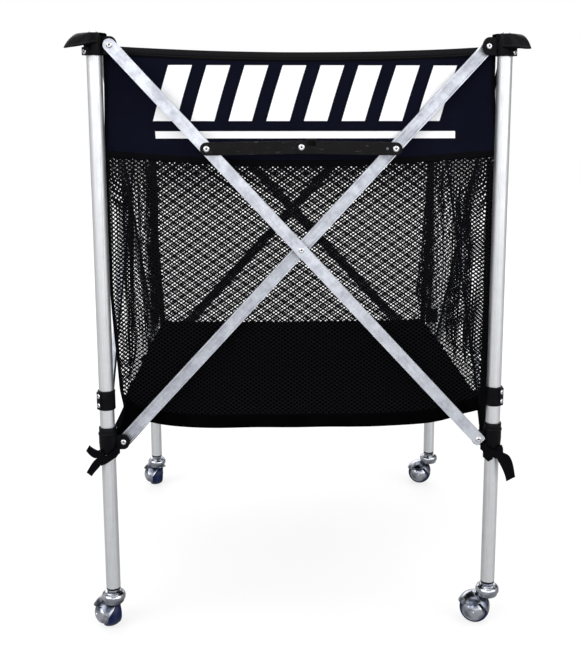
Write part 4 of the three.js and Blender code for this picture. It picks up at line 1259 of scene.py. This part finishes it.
def wall_binding(k, height):
    """Leatherette strip folded over the wall's top edge."""
    across = 96
    profile = [(1.1, -height), (1.3, -height * 0.5), (1.3, -1.5), (0.9, -0.2), (0, 0.5), (-1.2, 0.5)]
    profile += [(-2.1, -0.2), (-2.4, -1.5), (-2.4, -height * 0.5), (-2.2, -height)]
    points, cloth = [], []
    run = 0.0
    for j, (out, drop) in enumerate(profile):
        if j:
            run += math.dist(profile[j], profile[j - 1])
        for i in range(across + 1):
            s = i / across
            z = wall_top(2 * s - 1) - 1
            point = wall_point(k, s, z)
            outward = Vector((0, -1, 0))
            if abs(point.x) > BAG_HALF - BAG_CORNER:
                outward = Vector((point.x, point.y, 0)).normalized()
            points.append(point + outward * out + Vector((0, 0, drop)))
            cloth.append((point.x * MM, min(run, 2 * height) * MM))
    return cloth_form((points, cells(across, len(profile) - 1)), cloth)


def corner_seam(k):
    """Narrow tape sewn down the bag's corner, over the edges of two walls."""
    name = CORNERS[k]
    width = (5, 5, 9, 9)[k]
    along, steps = 70, 10
    points, cloth = [], []
    for j in range(along + 1):
        z = mix(BAG_FLOOR - 1, BAG_TOP - 2, j / along)
        whole = 2 * (bag_half(z) + 0.7 - BAG_CORNER * (1 - math.pi / 4))
        for i in range(steps + 1):
            run = mix(-width, width, i / steps)
            if run >= 0:
                point = wall_point(k, run / whole, z, 0.7)
            else:
                point = about(-90) @ wall_point((k + 3) % 4, 1 + run / whole, z, 0.7)
            points.append(point)
            cloth.append((run * MM, z * MM))
    form = cloth_form((points, cells(steps, along)), cloth)
    place = about(90 * k)
    seam = piece(f"corner_seam_{name}", form, [woven_tape], f"post_{name}", place=place, sheet=True)
    thicken(seam, 0.5)
    return seam


def corner_strap(k):
    """Short tape from the bag's floor corner down to the slider."""
    name = CORNERS[k]
    strap = Form()
    for *ends, wide in STRAPS[k]:
        start, control, end = (Vector(p) for p in ends)
        strap.add(ribbon(bezier(start, control, end, 20), wide, 1.2, (end - start).cross(Vector(FACING[k]))))
    strap.cloth = [(p.x * MM, p.z * MM) for p in strap.points]
    return piece(
        f"corner_strap_{name}", strap, [woven_tape], f"post_{name}", place=corner_place(k), edge=0.2
    )


def corner_fold():
    """Slack of the right wall's front edge, which stands out beside the post."""
    def at(s, t):
        z = mix(318, 770, t)
        sway = 0.8 * math.sin(z / 37) + 0.5 * math.sin(z / 13)
        reach = mix(8.6, 10.5, smooth(z, 640, 770))
        return 13 + 0.7 * math.sin(5 * s + z / 60), mix(19, reach, s) + sway * s * (1 - s) * 3, z

    points, faces = grid(8, 80, at)
    form = cloth_form((points, faces), [(y * MM, z * MM) for x, y, z in points])
    made = piece(
        "corner_fold_front_right", form, [woven_tape], "post_front_right",
        place=corner_place(1), sheet=True,
    )
    thicken(made, 0.5)


def corner_gusset():
    """Slack of the floor cloth drawn down from the front left corner to the slider."""
    hem_corner, hem = Vector((27.5, 20, 377)), Vector((70, 18, 358))
    ear, collar = Vector((32, 13, 316)), Vector((6, 13.5, 338))

    def at(s, t):
        point = (hem_corner.lerp(hem, s)).lerp(collar.lerp(ear, s), t)
        sway = 4 * (1 - s) * math.sin(math.pi * t)
        return point + Vector((sway, 2.5 * math.sin(math.pi * t) * math.sin(7 * s), -sway / 2))

    points, faces = grid(16, 16, at)
    form = cloth_form((points, faces), [(p.x * MM, p.z * MM) for p in points])
    made = piece(
        "corner_gusset_front_left", form, [coated_floor_cloth], "post_front_left",
        place=corner_place(0), sheet=True,
    )
    thicken(made, 1)


def floor_point(x, y):
    """A point of the floor cloth, which hangs in the middle and is drawn out at the corners."""
    u, v = x / FLOOR_HALF, y / FLOOR_HALF
    edge = mix(edge_sag(0, min(abs(u), 1)), edge_sag(2, min(abs(u), 1)), (v + 1) / 2)
    wrinkle = 0.8 * math.sin(x / 23 + y / 51) * math.sin(y / 29)
    hang = (1 - u * u) * (1 - v * v)
    corner = (0 if x < 0 else 1) if y < 0 else (3 if x < 0 else 2)
    pull = corner_pull(corner, min(abs(x), abs(y)) + 4, BAG_FLOOR)
    z = BAG_FLOOR - edge - BAG_MIDDLE_SAG * hang + wrinkle * max(0, hang)
    return x + math.copysign(pull, x), y + math.copysign(pull, y), z


def floor_tile(name, body, x0, x1, y0, y1, steps):
    points, faces = grid(steps, steps, lambda s, t: floor_point(mix(x0, x1, s), mix(y0, y1, t)))
    form = cloth_form((points, faces), [(x * MM, y * MM) for x, y, z in points])
    made = piece(name, form, [coated_floor_cloth], body, sheet=True)
    thicken(made, FLOOR_THICK - 1)
    return made


def bag_floor():
    """Woven floor in parts: corners ride their posts, the rest crumples towards them as the cart folds."""
    limit = FLOOR_HALF + 1.4
    inner = limit - (2 * limit - FOLD_TRAVEL)
    signs = ((-1, -1), (1, -1), (1, 1), (-1, 1))
    parts = []
    for k, (sx, sy) in enumerate(signs):
        name, body = CORNERS[k], f"post_{CORNERS[k]}"
        xs, ys = sorted((sx * inner, sx * limit)), sorted((sy * inner, sy * limit))
        corner = floor_tile(f"floor_corner_{name}", body, *xs, *ys, 14)
        if k == 0:
            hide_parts("bag_floor")
        parts.append((corner, limit - inner, limit - inner))
        xs, ys = sorted((0, sx * inner)), sorted((0, sy * inner))
        centre = floor_tile(f"floor_centre_{name}", body, *xs, *ys, 16)
        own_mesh(centre)
        parts.append((centre, inner, inner))
        along = k % 2 == 0
        if along:
            ends = (-inner, inner, *sorted((sy * inner, sy * limit)))
        else:
            ends = (*sorted((sx * inner, sx * limit)), -inner, inner)
        edge = floor_tile(f"floor_edge_{SIDES[k]}", WALL_BODY[k], *ends, 20)
        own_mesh(edge)
        parts.append((edge, 2 * inner, limit - inner) if along else (edge, limit - inner, 2 * inner))
    return parts


def camera_sees(tree):
    """The light path, and a value of one for rays from the camera or through clear material."""
    path = add(tree, "LightPath")
    inputs = {0: path.outputs["Is Camera Ray"], 1: path.outputs["Is Transmission Ray"]}
    return path, add(tree, "Math", inputs, operation="MAXIMUM").outputs[0]


def studio():
    """Pale floor, white surroundings, soft lamps and the camera at the photograph's angle."""
    scene = bpy.context.scene
    half = STUDIO_HALF
    floor_form = Form().add(grid(24, 24, lambda s, t: (mix(-half, half, s), mix(-half, half, t), 0)))
    floor = object_of("studio_floor", floor_form, [pale_studio_floor])
    world = bpy.data.worlds.new("studio")
    scene.world = world
    world.use_nodes = True
    tree = world.node_tree
    background = tree.nodes["Background"]
    path, shown = camera_sees(tree)
    # Polished parts mirror a room of pale and dark patches, as large as its walls and doorways
    round_about = add(tree, "TexCoord").outputs["Generated"]
    room = add(tree, "TexNoise", {"Vector": round_about, "Scale": 2.1, "Detail": 1}).outputs[0]
    patches = spread(tree, room, 0.06, 0.95, 0.43, 0.57)
    around = add(tree, "Mix", {0: path.outputs["Is Glossy Ray"], 2: 0.4, 3: patches}).outputs[0]
    strength = add(tree, "Math", {0: shown, 1: around}, operation="MAXIMUM").outputs[0]
    tree.links.new(strength, background.inputs["Strength"])
    background.inputs["Color"].default_value = (1, 1, 1, 1)
    for name, towards, power, spread_angle in (
        ("key", (-0.75, -0.7, 0.55), 1.8, 50),
        ("fill", (0.8, -0.6, 0.4), 1.3, 50),
        ("front", (0.05, -1, 0.12), 1.25, 60),
        ("top", (0.1, 0.15, 1), 0.9, 60),
        ("back", (-0.1, 1, 0.35), 0.9, 60),
    ):
        light = bpy.data.lights.new(f"{name}_softbox", "SUN")
        light.energy, light.angle = power, math.radians(spread_angle)
        lamp = bpy.data.objects.new(light.name, light)
        scene.collection.objects.link(lamp)
        lamp.rotation_euler = (-Vector(towards)).to_track_quat("-Z", "Y").to_euler()
    shot = bpy.data.cameras.new("photograph")
    shot.sensor_fit, shot.sensor_width, shot.lens = "AUTO", 36, CAMERA_LENS
    shot.shift_x, shot.shift_y = CAMERA_SHIFT
    shot.clip_end = 60
    camera = bpy.data.objects.new("photograph", shot)
    scene.collection.objects.link(camera)
    camera.location = [c * MM for c in CAMERA_PLACE]
    camera.rotation_euler = (math.radians(90 - CAMERA_DIP), 0, math.radians(CAMERA_TURN))
    scene.camera = camera
    scene.view_settings.view_transform = "Standard"


def pale_studio_floor(tree, body):
    # Matt grey-white floor lit up to white for the camera, so that only the cart's soft shadow shows
    grain = add(tree, "TexNoise", {"Scale": 3, "Detail": 3}).outputs[0]
    tree.links.new(tone(tree, grain, (0.29,) * 3, (0.31,) * 3), body.inputs["Base Color"])
    body.inputs["Roughness"].default_value = 0.9
    body.inputs["Specular IOR Level"].default_value = 0.1
    path, shown = camera_sees(tree)
    mirrored = add(tree, "Math", {0: path.outputs["Is Glossy Ray"], 1: 0.2}, operation="MULTIPLY").outputs[0]
    strength = add(tree, "Math", {0: shown, 1: FLOOR_GLOW, 2: mirrored}, operation="MULTIPLY_ADD").outputs[0]
    glow = add(tree, "Emission", {"Strength": strength})
    lit = add(tree, "AddShader", {0: body.outputs[0], 1: glow.outputs[0]})
    tree.links.new(lit.outputs[0], tree.nodes["Material Output"].inputs[0])


def at_corners(build):
    """A build of the same part at each of the four corners."""
    def run():
        for k in range(4):
            build(k)
    return run


def bag():
    trims = [(corner_seam(k), corner_strap(k)) for k in range(4)]
    corner_gusset()
    corner_fold()
    for k in range(4):
        bag_wall(k)
    for i, (part, width, depth) in enumerate(bag_floor()):
        along = list(trims[i // 3]) if i % 3 == 0 else []


def operator(name, label, text, build):
    """The operator that builds one kind of part; text is its tooltip."""
    def execute(self, context):
        build()
        return {"FINISHED"}

    fields = {"__doc__": text, "bl_idname": f"cart.{name}", "bl_label": label, "execute": execute}
    return type(f"CART_OT_{name}", (bpy.types.Operator,), fields)


PARTS = tuple(operator(*row) for row in (
    ("stage", "Studio", "Build the floor, the surroundings, the lamps and the camera", studio),
    ("posts", "Post tubes", "Build the four post tubes", at_corners(post_tube)),
    ("brackets", "Corner brackets", "Build the brackets on the posts' tops", at_corners(corner_bracket)),
    ("flaps", "Corner flaps", "Build the leatherette flaps and their screws", at_corners(corner_flap)),
    ("stop_bands", "Stop bands", "Build the stop bands above the sliders", at_corners(stop_band)),
    ("sliders", "Sliders", "Build the sliders with their lower pivots", at_corners(post_slider)),
    ("ties", "Ties", "Build the tapes knotted round the posts", at_corners(post_tie)),
    ("casters", "Casters", "Build the ball casters and their stems", at_corners(caster)),
    ("arms", "Scissor arms", "Build the scissor arms and their crossing rivets", scissor_arms),
    ("lock", "Lock links", "Build the two lock links and the thumb tab", lock_links),
    ("bag", "Bag", "Build the bag's walls, floor, corner seams and straps", bag),
))


class CART_PT_parts(bpy.types.Panel):
    """Lists the cart's parts in the order in which they are built"""

    bl_idname = "CART_PT_parts"
    bl_label = "Ball Cart"
    bl_space_type = "VIEW_3D"
    bl_region_type = "UI"
    bl_category = "Ball Cart"

    def draw(self, context):
        for part in PARTS:
            self.layout.operator(part.bl_idname)
        for settings in (context.scene.cart_sizes, context.scene.cart_colours):
            box = self.layout.box()
            for name in settings.__annotations__:
                box.prop(settings, name)


CLASSES = (CartColours, CartSizes, *PARTS, CART_PT_parts)


def register():
    for made in CLASSES:
        bpy.utils.register_class(made)
    bpy.types.Scene.cart_colours = PointerProperty(type=CartColours)
    bpy.types.Scene.cart_sizes = PointerProperty(type=CartSizes)


def unregister():
    del bpy.types.Scene.cart_sizes
    del bpy.types.Scene.cart_colours
    for made in reversed(CLASSES):
        bpy.utils.unregister_class(made)


def main():
    register()
    for part in PARTS:
        group, name = part.bl_idname.split(".")
        getattr(getattr(bpy.ops, group), name)()


if __name__ == "__main__":
    main()
